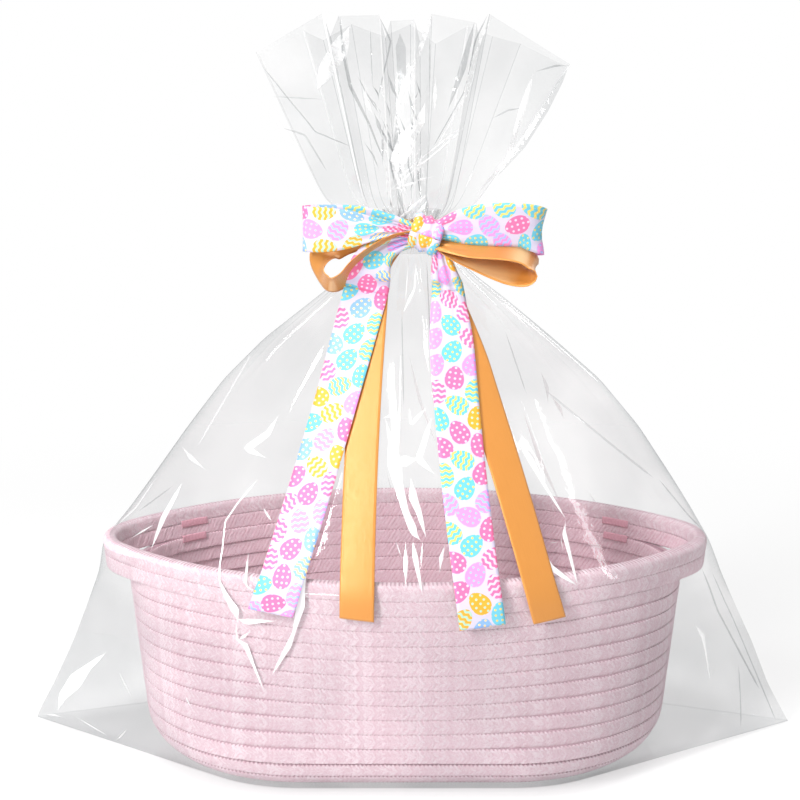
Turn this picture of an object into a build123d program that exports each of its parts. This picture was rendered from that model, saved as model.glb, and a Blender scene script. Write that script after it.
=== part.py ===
"""Gift basket: an oval basket of coiled cotton rope in a clear film bag, tied with a double ribbon bow.

Millimetres, +Z up, +X to the right, -Y to the front. The origin is on the floor, under the middle.
"""
from build123d import *
from math import asin, cos, hypot, pi, radians, sin, sqrt
import os

# --- rope basket ---
ROPE = 8.4                # rope, across its flats
PRESSED_ROPE = 8.1        # the same rope where it is packed tight round the edge of the floor
PITCH = 8.8               # from one course of rope to the next
FLOOR_TURNS = 7           # turns in the flat floor
WALL_COURSES = 14         # courses from the floor's rounded edge up to the handles
HANDLE_COURSES = 2        # top courses, which swing out at both ends as lug handles
STRAIGHT_HALF = 58.7      # half the straight start of the coil
CORNER_RADIUS = 25.0      # rounding between floor and wall, on the rope's centre line
FLARE = radians(6.3)      # lean of the wall
RIM_END_RADIUS = 60.0     # end radius of the oval where the wall meets the rim
HANDLE_REACH = 13.0       # how far a handle stands out past the wall
HANDLE_END_RADIUS = 40.0
LUG_START = 132.0         # where the lower handle course is divided into its ends, front and back
TACK_LENGTH = 20.0
TACK_HEIGHT = 6.0
TACK_THICKNESS = 0.8
TACK_TURN = radians(58)   # how far round the end of the oval a handle leaves the wall
ROPE_SIDES = 8
# directions, in degrees from the end of the oval, of the straight lengths that draw a quarter turn
WALL_FACETS = (0, 14, 28, 42, 55, 67, 77, 84)
FLOOR_FACETS = (0, 15, 30, 45, 60, 75)
HAIRPIN_FACETS = (0, 30, 60)

# --- film bag ---
FILM = 0.6                # film, drawn thicker than it is
GAP = 0.3                 # clearance between neighbours
FILM_SLACK = 3.3          # from the rope's outermost edge to the outside of the film
FLOOR_FILM_TOP = FILM + GAP
TIP = FILM + GAP          # half depth of the bag at its side seams
RIM_LEVEL = 128.0         # the bag is drawn tight below this height and closes in above it
NECK_X = 4.0              # the bag is gathered a little to the right
NECK_BOTTOM = 296.0
NECK_TOP = 317.0
NECK_RADIUS = 14.0
NECK_FLUTES = 14
FLUTE_DEPTH = 2.0
SPREAD = 8.0              # how far the film spreads round the basket's foot
FAN_PLEATS = 12
# height at the sides, height in the middle, half width, lean to the front or back, pleat depth
FAN_LEVELS = [
    (NECK_TOP, NECK_TOP, 15.0, 3.5, 1.2),
    (345.0, 345.0, 52.0, 18.0, 3.5),
    (375.0, 375.0, 74.0, 29.0, 6.0),
    (400.0, 427.0, 88.0, 36.0, 9.0),
]
# below the rim the film is drawn tight round the basket and out to two pointed side seams: height, reach
SEAM_REACH = [
    (FLOOR_FILM_TOP, 229.0),
    (7.0, 226.0),
    (15.0, 221.0),
    (24.0, 215.0),
    (34.0, 210.0),
    (70.0, 196.0),
]
# above it the bag closes in to its neck: height, half length, half width, end radius
TENT = [
    (105.0, 182.0, 107.2, 46.5),
    (RIM_LEVEL, 180.0, 108.6, 46.5),
    (160.0, 150.5, 93.0, 36.0),
    (190.0, 131.0, 77.5, 29.0),
    (218.0, 109.0, 62.0, 23.0),
    (242.0, 82.0, 48.0, 18.0),
    (262.0, 58.0, 36.0, 15.0),
    (280.0, 36.0, 25.0, 13.0),
    (NECK_BOTTOM, 17.5, 15.5, 12.0),
]

# --- ribbons ---
RIBBON = 0.6              # ribbon, drawn thicker than it is
PRINTED_WIDTH = 25.0
SATIN_WIDTH = 18.5
PIVOT_Z = 275.0           # where the tails hang free from the bow
CLING_HEIGHT = 50.0       # below that, how far down a tail comes to lie to the bag's curve
KNOT_X = 10.0
KNOT_Y = -30.0
KNOT_Z = 305.0
# root, far end, radius of the far bend, drawn width
PRINTED_LOOPS = {
    "left": ((-1.5, -30, 308.8), (-57, -36, 308.8), 7.0, 24.0),
    "right": ((21.5, -30, 308.8), (75, -36, 308.8), 8.5, 24.0),
}
SATIN_LOOPS = {
    "left": ((2, -46, 292), (-50, -46, 282.5), 10.0, 16.0),
    "right": ((16, -46, 291), (74, -46, 284), 9.0, 16.0),
}
# x at the pivot, x and height at the cut end
PRINTED_TAILS = {"left": (-21.5, -72.5, 112.0), "right": (24.0, 41.0, 104.0)}
SATIN_TAILS = {"left": (-18.0, -25.5, 112.0), "right": (28.0, 77.5, 107.0)}
PRINTED_LIFT = 3.2        # from the film's surface to the ribbon
SATIN_LIFT = 1.2
PRINTED_FOLD = 2.5        # open space above the pivot


# ---------------------------------------------------------------- oval plan of the basket

def oval_side(half_length, half_width, end_radius):
    """The end arc's centre along the length, and how far the side arc's centre lies past the middle line.

    The sides are straight, with no centre, where the ends are full half circles.
    """
    centre = half_length - end_radius
    rise = half_width - end_radius
    if rise == 0:
        return centre, None
    return centre, (centre**2 - rise**2) / (2 * rise)


def oval_support(angle, half_length, half_width, end_radius):
    """Distance from the centre to the tangent of the oval whose normal points along angle."""
    nx, ny = abs(cos(angle)), abs(sin(angle))
    centre, drop = oval_side(half_length, half_width, end_radius)
    if drop is None or ny * centre <= nx * drop:
        return end_radius + centre * nx
    return half_width + drop - drop * ny


def oval_depth(x, half_length, half_width, end_radius):
    """Half depth of the oval at x."""
    x = min(abs(x), half_length)
    centre, drop = oval_side(half_length, half_width, end_radius)
    if drop is None:
        return sqrt(end_radius**2 - max(x - centre, 0.0) ** 2)
    side_radius = half_width + drop
    if x <= side_radius * centre / hypot(centre, drop):
        return sqrt(side_radius**2 - x**2) - drop
    return sqrt(max(end_radius**2 - (x - centre) ** 2, 0.0))


# ---------------------------------------------------------------- rope courses

floor_edge = PITCH * (FLOOR_TURNS + 0.5)          # half width of the first course of the corner
rope_floor = FLOOR_FILM_TOP + ROPE / 2
corner_length = CORNER_RADIUS * (pi / 2 - FLARE)
top_course = WALL_COURSES + HANDLE_COURSES - 1


def wall_profile(course):
    """Half width, height and tilt of the rope's centre line, a number of courses up from the floor."""
    along = course * PITCH
    if along <= corner_length:
        turn = along / CORNER_RADIUS
        half_width = floor_edge + CORNER_RADIUS * sin(turn)
        return half_width, rope_floor + CORNER_RADIUS * (1 - cos(turn)), turn
    up = along - corner_length
    half_width = floor_edge + CORNER_RADIUS * cos(FLARE) + up * sin(FLARE)
    height = rope_floor + CORNER_RADIUS * (1 - sin(FLARE)) + up * cos(FLARE)
    return half_width, height, pi / 2 - FLARE


def wall_end_radius(course, half_width):
    """The plan turns from straight-sided at the floor to a full oval at the rim."""
    first = corner_length / PITCH
    blend = min(max((course - first) / (top_course - first), 0.0), 1.0)
    return (1 - blend) * half_width + blend * RIM_END_RADIUS


def whole_turn(facets):
    """The directions of a quarter turn carried round to the whole turn."""
    quarter = [radians(degrees) for degrees in facets]
    half = quarter + [pi / 2] + [pi - angle for angle in quarter[:0:-1]]
    return half + [pi + angle for angle in half]


def rope_section(rope, tilt):
    """The rope's cross-section, a pair of its flats lying along the wall."""
    flats = RegularPolygon(rope / 2, ROPE_SIDES, major_radius=False)
    return Rot(0, 0, 180 / ROPE_SIDES - tilt * 180 / pi) * flats


def rope_turn(half_length, half_width, end_radius, height, tilt=0.0, rope=ROPE, facets=WALL_FACETS):
    """One closed turn of rope, drawn as straight lengths that touch the oval."""
    angles = whole_turn(facets)
    reach = [oval_support(angle, half_length, half_width, end_radius) for angle in angles]
    corners = []
    for i, a in enumerate(angles):
        following = (i + 1) % len(angles)
        b = angles[following]
        ha, hb = reach[i], reach[following]
        x = (ha * sin(b) - hb * sin(a)) / sin(b - a)
        y = (hb * cos(a) - ha * cos(b)) / sin(b - a)
        corners.append((x, y, height))
    start = (half_length, 0, height)
    path = Polyline(start, *corners, start)
    across = Plane(origin=start, x_dir=(1, 0, 0), z_dir=(0, 1, 0))
    return sweep(across * rope_section(rope, tilt), path, transition=Transition.RIGHT)


def basket_courses():
    """Every turn of the coil by name, from the doubled rope in the middle of the floor to the rim."""
    turns = {}
    for i in range(FLOOR_TURNS):
        half_width = PITCH * (i + 0.5)
        oval = (STRAIGHT_HALF + half_width, half_width, half_width)
        facets = FLOOR_FACETS if i else HAIRPIN_FACETS
        turns[f"floor_turn_{i + 1}"] = rope_turn(*oval, rope_floor, facets=facets)
    for i in range(WALL_COURSES):
        half_width, height, tilt = wall_profile(i)
        oval = (STRAIGHT_HALF + half_width, half_width, wall_end_radius(i, half_width))
        rope = PRESSED_ROPE if i * PITCH < corner_length else ROPE
        turns[f"wall_course_{i + 1:02d}"] = rope_turn(*oval, height, tilt, rope)
    turns.update(handle_lengths("handle_lower", handle_turn(0)))
    turns["handle_course_upper"] = handle_turn(1)
    return turns


def handle_turn(step):
    """A top turn, which swings out past the wall at both ends."""
    half_width, height, tilt = wall_profile(WALL_COURSES + step)
    half_length = STRAIGHT_HALF + half_width + HANDLE_REACH
    return rope_turn(half_length, half_width, HANDLE_END_RADIUS, height, tilt)


def handle_lengths(name, turn):
    """A turn in four lengths, so that each end closes round its slot on its own."""
    size = turn.bounding_box().size
    middle_z = turn.bounding_box().center().Z
    end = size.X / 2 - LUG_START
    lengths = {}
    for side, sign in (("left", -1), ("right", 1)):
        cutter = Pos(sign * (LUG_START + end / 2), 0, middle_z) * Box(end, size.Y + 2, size.Z + 2)
        lengths[f"{name}_{side}"] = turn & cutter
    for side, sign in (("front", -1), ("back", 1)):
        cutter = Pos(0, sign * size.Y / 2, middle_z) * Box(2 * LUG_START, size.Y, size.Z + 2)
        lengths[f"{name}_{side}"] = turn & cutter
    return lengths


def handle_tacks():
    """Stitched patches inside the wall, where each handle leaves it."""
    seam = WALL_COURSES - 0.5
    half_width, height, _ = wall_profile(seam)
    end_radius = wall_end_radius(seam, half_width)
    centre = STRAIGHT_HALF + half_width - end_radius
    inside = end_radius - ROPE / 2 - GAP - TACK_THICKNESS / 2
    patches = []
    for side in (-1, 1):
        for face in (-1, 1):
            x = side * (centre + inside * cos(TACK_TURN))
            y = face * inside * sin(TACK_TURN)
            turn = side * face * (TACK_TURN * 180 / pi - 90)
            patch = Box(TACK_LENGTH, TACK_THICKNESS, TACK_HEIGHT)
            patches.append(Pos(x, y, height) * Rot(0, 0, turn) * patch)
    return Compound(children=patches)


# ---------------------------------------------------------------- film bag

def basket_outside(z):
    """Half length, half width and end radius of the basket's outside at a height."""
    skin = ROPE / 2 / cos(pi / ROPE_SIDES) + FILM_SLACK
    corner_middle = rope_floor + CORNER_RADIUS
    if z < corner_middle:
        half_width = floor_edge + sqrt(max((CORNER_RADIUS + skin) ** 2 - (corner_middle - z) ** 2, 0.0))
        course = 0.0
    else:
        up = (z - corner_middle) / cos(FLARE)
        half_width = floor_edge + CORNER_RADIUS * cos(FLARE) + up * sin(FLARE) + skin
        course = (up + corner_length) / PITCH
    end_radius = wall_end_radius(course, half_width - skin) + skin
    return STRAIGHT_HALF + half_width, half_width, end_radius



def tight_depth(x, reach, half_length, half_width, end_radius):
    """Half depth of film that lies on the oval and runs straight from it to a seam at reach."""
    centre = half_length - end_radius
    lean = asin(end_radius / (reach - centre))
    touch = centre + end_radius * sin(lean)
    if abs(x) >= touch:
        return (reach - abs(x)) * sin(lean) / cos(lean)
    return oval_depth(x, half_length, half_width, end_radius)


def film_levels():
    """Each level's height, reach to the side seam, and half depth as a function of x."""
    levels = []
    for z, reach in SEAM_REACH:
        oval = basket_outside(z)
        if z == FLOOR_FILM_TOP:
            oval = [length + SPREAD for length in oval]
        levels.append((z, reach, lambda x, r=reach, o=oval: tight_depth(x, r, *o)))
    for z, *oval in TENT:
        levels.append((z, oval[0], lambda x, o=oval: oval_depth(x, *o)))
    return levels


LEVELS = film_levels()


def neck_shift(z):
    """The bag leans from the basket's middle to its neck."""
    return NECK_X * min(max((z - RIM_LEVEL) / (NECK_BOTTOM - RIM_LEVEL), 0.0), 1.0)


def film_depth(x, z):
    """Half depth of the bag's outside at a place."""
    for (z0, reach0, depth0), (z1, reach1, depth1) in zip(LEVELS, LEVELS[1:]):
        if z <= z1:
            share = (z - z0) / (z1 - z0)
            x -= neck_shift(z)
            lower = depth0(min(abs(x) / reach0, 1) * reach0)
            upper = depth1(min(abs(x) / reach1, 1) * reach1)
            return (1 - share) * lower + share * upper
    return LEVELS[-1][2](x - NECK_X)


def sheet_solid(rows, offset):
    """A thin sheet through rows of points, given its thickness by offset and built of flat triangles."""
    shift = Vector(*offset)
    near = [[Vector(*point) for point in row] for row in rows]
    far = [[point + shift for point in row] for row in near]
    last_row, last = len(rows) - 1, len(rows[0]) - 1
    quads = []
    for i in range(last_row):
        for j in range(last):
            for grid in (near, far):
                quads.append((grid[i][j], grid[i][j + 1], grid[i + 1][j + 1], grid[i + 1][j]))
        for j in (0, last):
            quads.append((near[i][j], near[i + 1][j], far[i + 1][j], far[i][j]))
    for j in range(last):
        for i in (0, last_row):
            quads.append((near[i][j], near[i][j + 1], far[i][j + 1], far[i][j]))
    faces = []
    for a, b, c, d in quads:
        for triangle in ((a, b, c), (a, c, d)):
            faces.append(Face(Wire.make_polygon(triangle)))
    return Solid(Shell(faces))


def bag_side(face, levels):
    """A stretch of the bag's front (face -1) or back (face 1) sheet."""
    columns = 16
    rows = []
    for z, reach, depth in levels:
        across = [-reach * cos(pi * i / columns) for i in range(columns + 1)]
        rows.append([(x + neck_shift(z), face * max(depth(x), TIP), z) for x in across])
    return sheet_solid(rows, (0, -face * FILM, 0))


def bag_floor():
    """The bag's flat bottom, which the whole object stands on."""
    _, reach, depth = LEVELS[0]
    columns = 24
    across = [-reach * cos(pi * i / columns) for i in range(columns + 1)]
    front = [(x, -max(depth(x), TIP)) for x in across]
    back = [(x, -y) for x, y in front[::-1]]
    return extrude(make_face(Polyline(*front, *back, close=True)), FILM)


def bag_neck():
    """The film gathered into a fluted bundle inside the bow."""
    ring = []
    for i in range(2 * NECK_FLUTES):
        r = NECK_RADIUS - FLUTE_DEPTH * (i % 2)
        angle = pi * i / NECK_FLUTES
        ring.append((r * cos(angle), r * sin(angle)))
    bundle = extrude(make_face(Polyline(*ring, close=True)), NECK_TOP - NECK_BOTTOM - 2 * GAP)
    return Pos(NECK_X, 0, NECK_BOTTOM + GAP) * bundle


def bag_fan(face):
    """One side of the pleated fan above the neck, an accordion sheet with a bowed top edge."""
    folds = 2 * FAN_PLEATS
    rows = []
    for side, middle, half_width, lean, pleat in FAN_LEVELS:
        row = []
        for i in range(folds + 1):
            u = 2 * i / folds - 1
            bow = 1 - u**2
            depth = GAP + (lean + pleat * (i % 2)) * bow
            row.append((NECK_X + half_width * u, face * depth, side + (middle - side) * bow))
        rows.append(row)
    return sheet_solid(rows, (0, face * FILM, 0))


# ---------------------------------------------------------------- ribbons

def teardrop(length, radius):
    """A ribbon loop seen along its width: two strands that leave one point and join round the far end."""

    def outline(start, r):
        middle = length - radius
        lean = asin(r / (middle - start))
        reach = (middle - start) * cos(lean)
        upper = (start + reach * cos(lean), reach * sin(lean))
        lower = (upper[0], -upper[1])
        end = ThreePointArc(upper, (middle + r, 0), lower)
        return make_face(Line((start, 0), upper) + end + Line(lower, (start, 0)))

    lean = asin(radius / (length - radius))
    return outline(0.0, radius) - outline(RIBBON / sin(lean), radius - RIBBON)


def ribbon_loop(root, far_end, radius, width, across):
    """A loop of ribbon from its root in the knot to its far end, its width along across."""
    along = Vector(*far_end) - Vector(*root)
    plane = Plane(origin=root, x_dir=along, z_dir=across)
    return extrude(plane * teardrop(along.length, radius), width / 2, both=True)


def ribbon_strip(stations):
    """A flat ribbon through stations of height, left edge and right edge, each edge an (x, y)."""
    rows = [[(*left, z), (*right, z)] for z, left, right in stations]
    return sheet_solid(rows, (0, RIBBON, 0))


def hanging_edge(x, z, half, lift):
    """Left and right edges, each an (x, y), of a ribbon that hangs over the film with its middle at x.

    It leaves the bow flat to the front and takes the bag's curve further down.
    """
    left, middle, right = (film_depth(x + side, z) for side in (-half, 0, half))
    front = max(left, middle, right)
    cling = min((PIVOT_Z - z) / CLING_HEIGHT, 1.0)
    clear = lift + RIBBON + max(middle - (left + right) / 2, 0.0) * cling
    left_y = front + (left - front) * cling + clear
    right_y = front + (right - front) * cling + clear
    return (x - half, -left_y), (x + half, -right_y)


def ribbon_tail(top_x, bottom_x, bottom_z, width, lift):
    """A tail that hangs from the bow over the film, held off it by lift."""
    heights = [PIVOT_Z] + [z for z, *_ in reversed(TENT) if bottom_z + 8 < z < PIVOT_Z - 4] + [bottom_z]
    slope = (bottom_x - top_x) / (PIVOT_Z - bottom_z)
    half = width / 2 * sqrt(1 + slope**2)
    stations = []
    for z in heights:
        x = top_x + slope * (PIVOT_Z - z)
        stations.append((z, *hanging_edge(x, z, half, lift)))
    return ribbon_strip(stations)


def tail_root(left, right, top_x, width, lift, fold):
    """The short gathered length from the knot to just above the fold where a tail hangs free."""
    y = KNOT_Y + 11 - 2.5 * lift
    top = (KNOT_Z - 8 - GAP, (left, y), (right, y))
    return ribbon_strip([top, (PIVOT_Z + fold, *hanging_edge(top_x, PIVOT_Z, width / 2, lift))])


def knot_wrap():
    """The band of printed ribbon that is wound over the middle of the bow."""
    bands = []
    for z, width, depth in ((-8.0, 8.5, 6.0), (-4.0, 10.0, 7.5), (4.0, 10.0, 7.5), (8.0, 8.5, 6.0)):
        ring = [(width * cos(pi * i / 8), depth * sin(pi * i / 8), z) for i in range(16)]
        bands.append(make_face(Polyline(*ring, close=True)))
    return Pos(KNOT_X, KNOT_Y - 1, KNOT_Z) * loft(bands, ruled=True)


def neck_tie():
    """The satin ribbon drawn round the gathered neck, behind the bow."""
    band = RegularPolygon(NECK_RADIUS + 1.4, 24) - RegularPolygon(NECK_RADIUS + 0.5, 24)
    return Pos(NECK_X, 0, KNOT_Z - 4.5) * extrude(band, 9.0)


# ---------------------------------------------------------------- the parts

def main():
    os.makedirs("parts", exist_ok=True)
    parts = basket_courses()
    parts["handle_tacks"] = handle_tacks()
    parts["bag_floor"] = bag_floor()
    skirt = [level for level in LEVELS if level[0] <= RIM_LEVEL]
    tent = [level for level in LEVELS if level[0] >= RIM_LEVEL]
    for name, face in (("front", -1), ("back", 1)):
        parts[f"bag_skirt_{name}"] = bag_side(face, skirt)
        parts[f"bag_tent_{name}"] = bag_side(face, tent)
    parts["bag_neck"] = bag_neck()
    parts["bag_fan_front"] = bag_fan(-1)
    parts["bag_fan_back"] = bag_fan(1)
    parts["neck_tie"] = neck_tie()
    parts["bow_knot"] = knot_wrap()
    for side, gathered in (("left", (KNOT_X - 10, KNOT_X - 1)), ("right", (KNOT_X + 1, KNOT_X + 10))):
        parts[f"printed_loop_{side}"] = ribbon_loop(*PRINTED_LOOPS[side], across=(0, 0, 1))
        parts[f"satin_loop_{side}"] = ribbon_loop(*SATIN_LOOPS[side], across=(0, 1, 0))
        for ribbon, tail, width, lift, fold in (
            ("satin", SATIN_TAILS[side], SATIN_WIDTH, SATIN_LIFT, GAP),
            ("printed", PRINTED_TAILS[side], PRINTED_WIDTH, PRINTED_LIFT, PRINTED_FOLD),
        ):
            parts[f"{ribbon}_root_{side}"] = tail_root(*gathered, tail[0], width, lift, fold)
            parts[f"{ribbon}_tail_{side}"] = ribbon_tail(*tail, width, lift)
    for name, shape in parts.items():
        export_step(shape, f"parts/{name}.step")


if __name__ == "__main__":
    main()
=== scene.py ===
"""Looks of the gift basket: coiled cotton rope, crisp clear film and two ribbons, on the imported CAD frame.

Lengths in the modelling code are millimetres in the frame's own axes and become metres in each mesh.
"""

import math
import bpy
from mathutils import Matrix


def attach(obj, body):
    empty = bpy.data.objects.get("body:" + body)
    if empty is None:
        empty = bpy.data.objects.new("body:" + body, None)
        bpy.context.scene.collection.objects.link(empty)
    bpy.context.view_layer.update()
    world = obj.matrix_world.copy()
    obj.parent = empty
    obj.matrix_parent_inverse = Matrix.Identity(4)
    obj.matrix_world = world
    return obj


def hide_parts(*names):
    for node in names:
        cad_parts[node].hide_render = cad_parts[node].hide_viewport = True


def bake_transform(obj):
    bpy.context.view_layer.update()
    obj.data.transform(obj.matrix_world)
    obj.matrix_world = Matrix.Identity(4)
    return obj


bl_info = {
    "name": "Gift Basket",
    "version": (1, 0, 0),
    "blender": (4, 5, 0),
    "location": "View3D > Sidebar > Gift Basket",
    "description": "Builds a coiled rope basket in a tied film bag with a double ribbon bow",
    "category": "Add Mesh",
}

import bpy
import numpy as np
from mathutils import Vector

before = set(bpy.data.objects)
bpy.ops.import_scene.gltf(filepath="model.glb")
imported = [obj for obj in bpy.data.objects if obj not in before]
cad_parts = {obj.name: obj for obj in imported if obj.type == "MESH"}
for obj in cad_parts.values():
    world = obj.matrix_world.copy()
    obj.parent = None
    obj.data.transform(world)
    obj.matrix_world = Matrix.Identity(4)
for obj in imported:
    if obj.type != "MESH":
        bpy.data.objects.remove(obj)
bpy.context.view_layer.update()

MM = 0.001
ROOT = "basket_and_bag"

# basket, as in the CAD model
PITCH = 8.8
FLOOR_TURNS = 7
WALL_COURSES = 14
STRAIGHT_HALF = 58.7
CORNER_RADIUS = 25.0
FLARE = math.radians(6.3)
RIM_END_RADIUS = 60.0
HANDLE_REACH = 13.0
HANDLE_END_RADIUS = 40.0
ROPE_FLOOR = 5.1

# stitched patches at the handles
TACK_LENGTH = 19.0
TACK_X = 133.0

# braid of the rope
STRAND = 2.7
STITCH = 2.25
REPEAT = 27.0
LEAN = 0.62
GIRTH_RADIUS = 4.3
HALF_GIRTH = GIRTH_RADIUS * math.pi / 2
CROWN = (0.0, 1.2, 2.3, 3.2, 3.8, 4.2, 4.45)
CONTACT = 4.56
RIM_TOP = 4.46

# film bag: close to the CAD model, with its own reach on the left and on the right
RIM_LEVEL = 128.0
NECK_BOTTOM = 296.0
NECK_TOP = 317.0
NECK_X = 4.0
WAIST_Z = 306.0
FILM_COLUMNS = 161
# up to each height the film stands this far off the rope's centre line
FILM_SKINS = [(28.0, 7.2), (90.0, 5.7), (math.inf, 6.5)]
# below the rim: height, x and y of the left seam, x and y of the right seam
SEAMS = [
    (0.9, -227.0, 25.0, 235.0, 18.0),
    (8.0, -224.0, 20.0, 231.0, 14.0),
    (14.0, -220.7, 17.3, 227.7, 12.1),
    (21.0, -216.9, 14.1, 223.9, 9.9),
    (30.0, -212.0, 10.0, 219.0, 7.0),
    (59.0, -198.0, 2.0, 207.0, 2.0),
    (84.0, -188.0, 0.0, 195.0, 0.0),
]
# above it: height, x of the left and right ends, half width, radius of the ends
TENT = [
    (104.0, -180.5, 186.0, 106.0, 47.0),
    (112.0, -179.0, 183.0, 107.0, 47.0),
    (RIM_LEVEL - 6, -177.5, 179.0, 107.5, 47.0),
    (141.0, -162.0, 168.0, 99.5, 42.0),
    (160.0, -148.0, 156.0, 91.0, 36.0),
    (190.0, -126.5, 136.0, 76.0, 29.0),
    (218.0, -105.0, 112.5, 61.0, 23.0),
    (242.0, -81.0, 85.0, 47.0, 18.0),
    (262.0, -55.5, 61.0, 35.0, 15.0),
    (280.0, -33.0, 38.0, 24.0, 13.0),
    (NECK_BOTTOM, -17.0, 23.0, 15.5, 12.0),
]

# creases, each with a painted highlight above 0 or painted grey shade below 0: strength, then x, z and width
# along each
CREASE_STEP = 1.5
CREASE_TAPER = 7.0
CREASE_LIFT = 0.30
CREASE_PEAK = 0.18
HEM_GREY = -0.35
SEAM_GREY = -0.2
# on the front of the fan
FAN_PAINTED_CREASES = [
    (0.55, [(-30, 417, 3.0), (-36, 405, 10.0), (-43, 394, 9.0), (-49, 382, 0.5)]),
    (0.9, [(11, 377, 0.5), (8, 366, 5.0), (1, 356, 10.0), (-4, 345, 9.0), (-5, 336, 1.0)]),
    (0.8, [(-11, 326, 0.6), (32, 362, 0.9)]),
    (0.8, [(-11, 327, 0.6), (15, 336, 1.8)]),
    (0.6, [(-9, 331, 0.5), (20, 355, 0.8), (34, 365, 0.5)]),
    (0.6, [(14, 423, 2.4), (7, 402, 2.4), (-3, 380, 2.2), (-7, 359, 0.6)]),
    (0.7, [(71, 393, 1.0), (65, 373, 3.5), (58, 345, 2.5), (40, 325, 0.8)]),
    (-0.5, [(72, 393, 0.8), (83, 396, 1.2), (91, 396, 0.8)]),
    (-0.3, [(90, 394, 2.0), (78, 372, 4.0), (66, 352, 3.0), (50, 333, 1.0)]),
    (-0.5, [(-80, 396, 0.7), (-50, 360, 0.8), (-29, 352, 0.5)]),
    (-0.3, [(-74, 379, 0.6), (-46, 378, 0.6)]),
    (-0.35, [(-70, 362, 0.8), (-56, 358, 1.2), (-44, 338, 0.8)]),
    (0.5, [(-72, 366, 1.5), (-66, 356, 3.0), (-60, 352, 0.8)]),
    (-0.6, [(-35, 422, 0.8), (-34, 403, 1.2), (-30, 385, 2.0), (-20, 365, 1.2), (-12, 345, 0.6)]),
    (-0.4, [(-19, 416, 0.6), (-18, 385, 0.5)]),
    (-0.5, [(-14, 422, 0.8), (-8, 409, 1.0), (-15, 379, 0.6)]),
    (-0.35, [(-3, 413, 6.0), (-2, 392, 4.5), (-4, 380, 1.0)]),
    (-0.4, [(13, 413, 0.6), (13, 382, 0.5)]),
    (-0.5, [(37, 419, 1.2), (31, 395, 3.8), (23, 372, 0.6)]),
    (-0.5, [(44, 423, 0.8), (38, 410, 1.0), (32, 382, 0.8), (15, 352, 0.6)]),
    (0.6, [(46, 421, 0.8), (40, 409, 1.0), (34, 382, 0.8), (17, 352, 0.6)]),
    (-0.4, [(47, 367, 0.6), (57, 372, 1.0), (67, 373, 0.5)]),
    (0.9, [(-4, 312, 1.0), (4, 318, 3.5), (12, 326, 0.6)]),
    (0.9, [(2, 311, 2.0), (9, 317, 2.0), (13, 324, 0.5)]),
]

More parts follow.
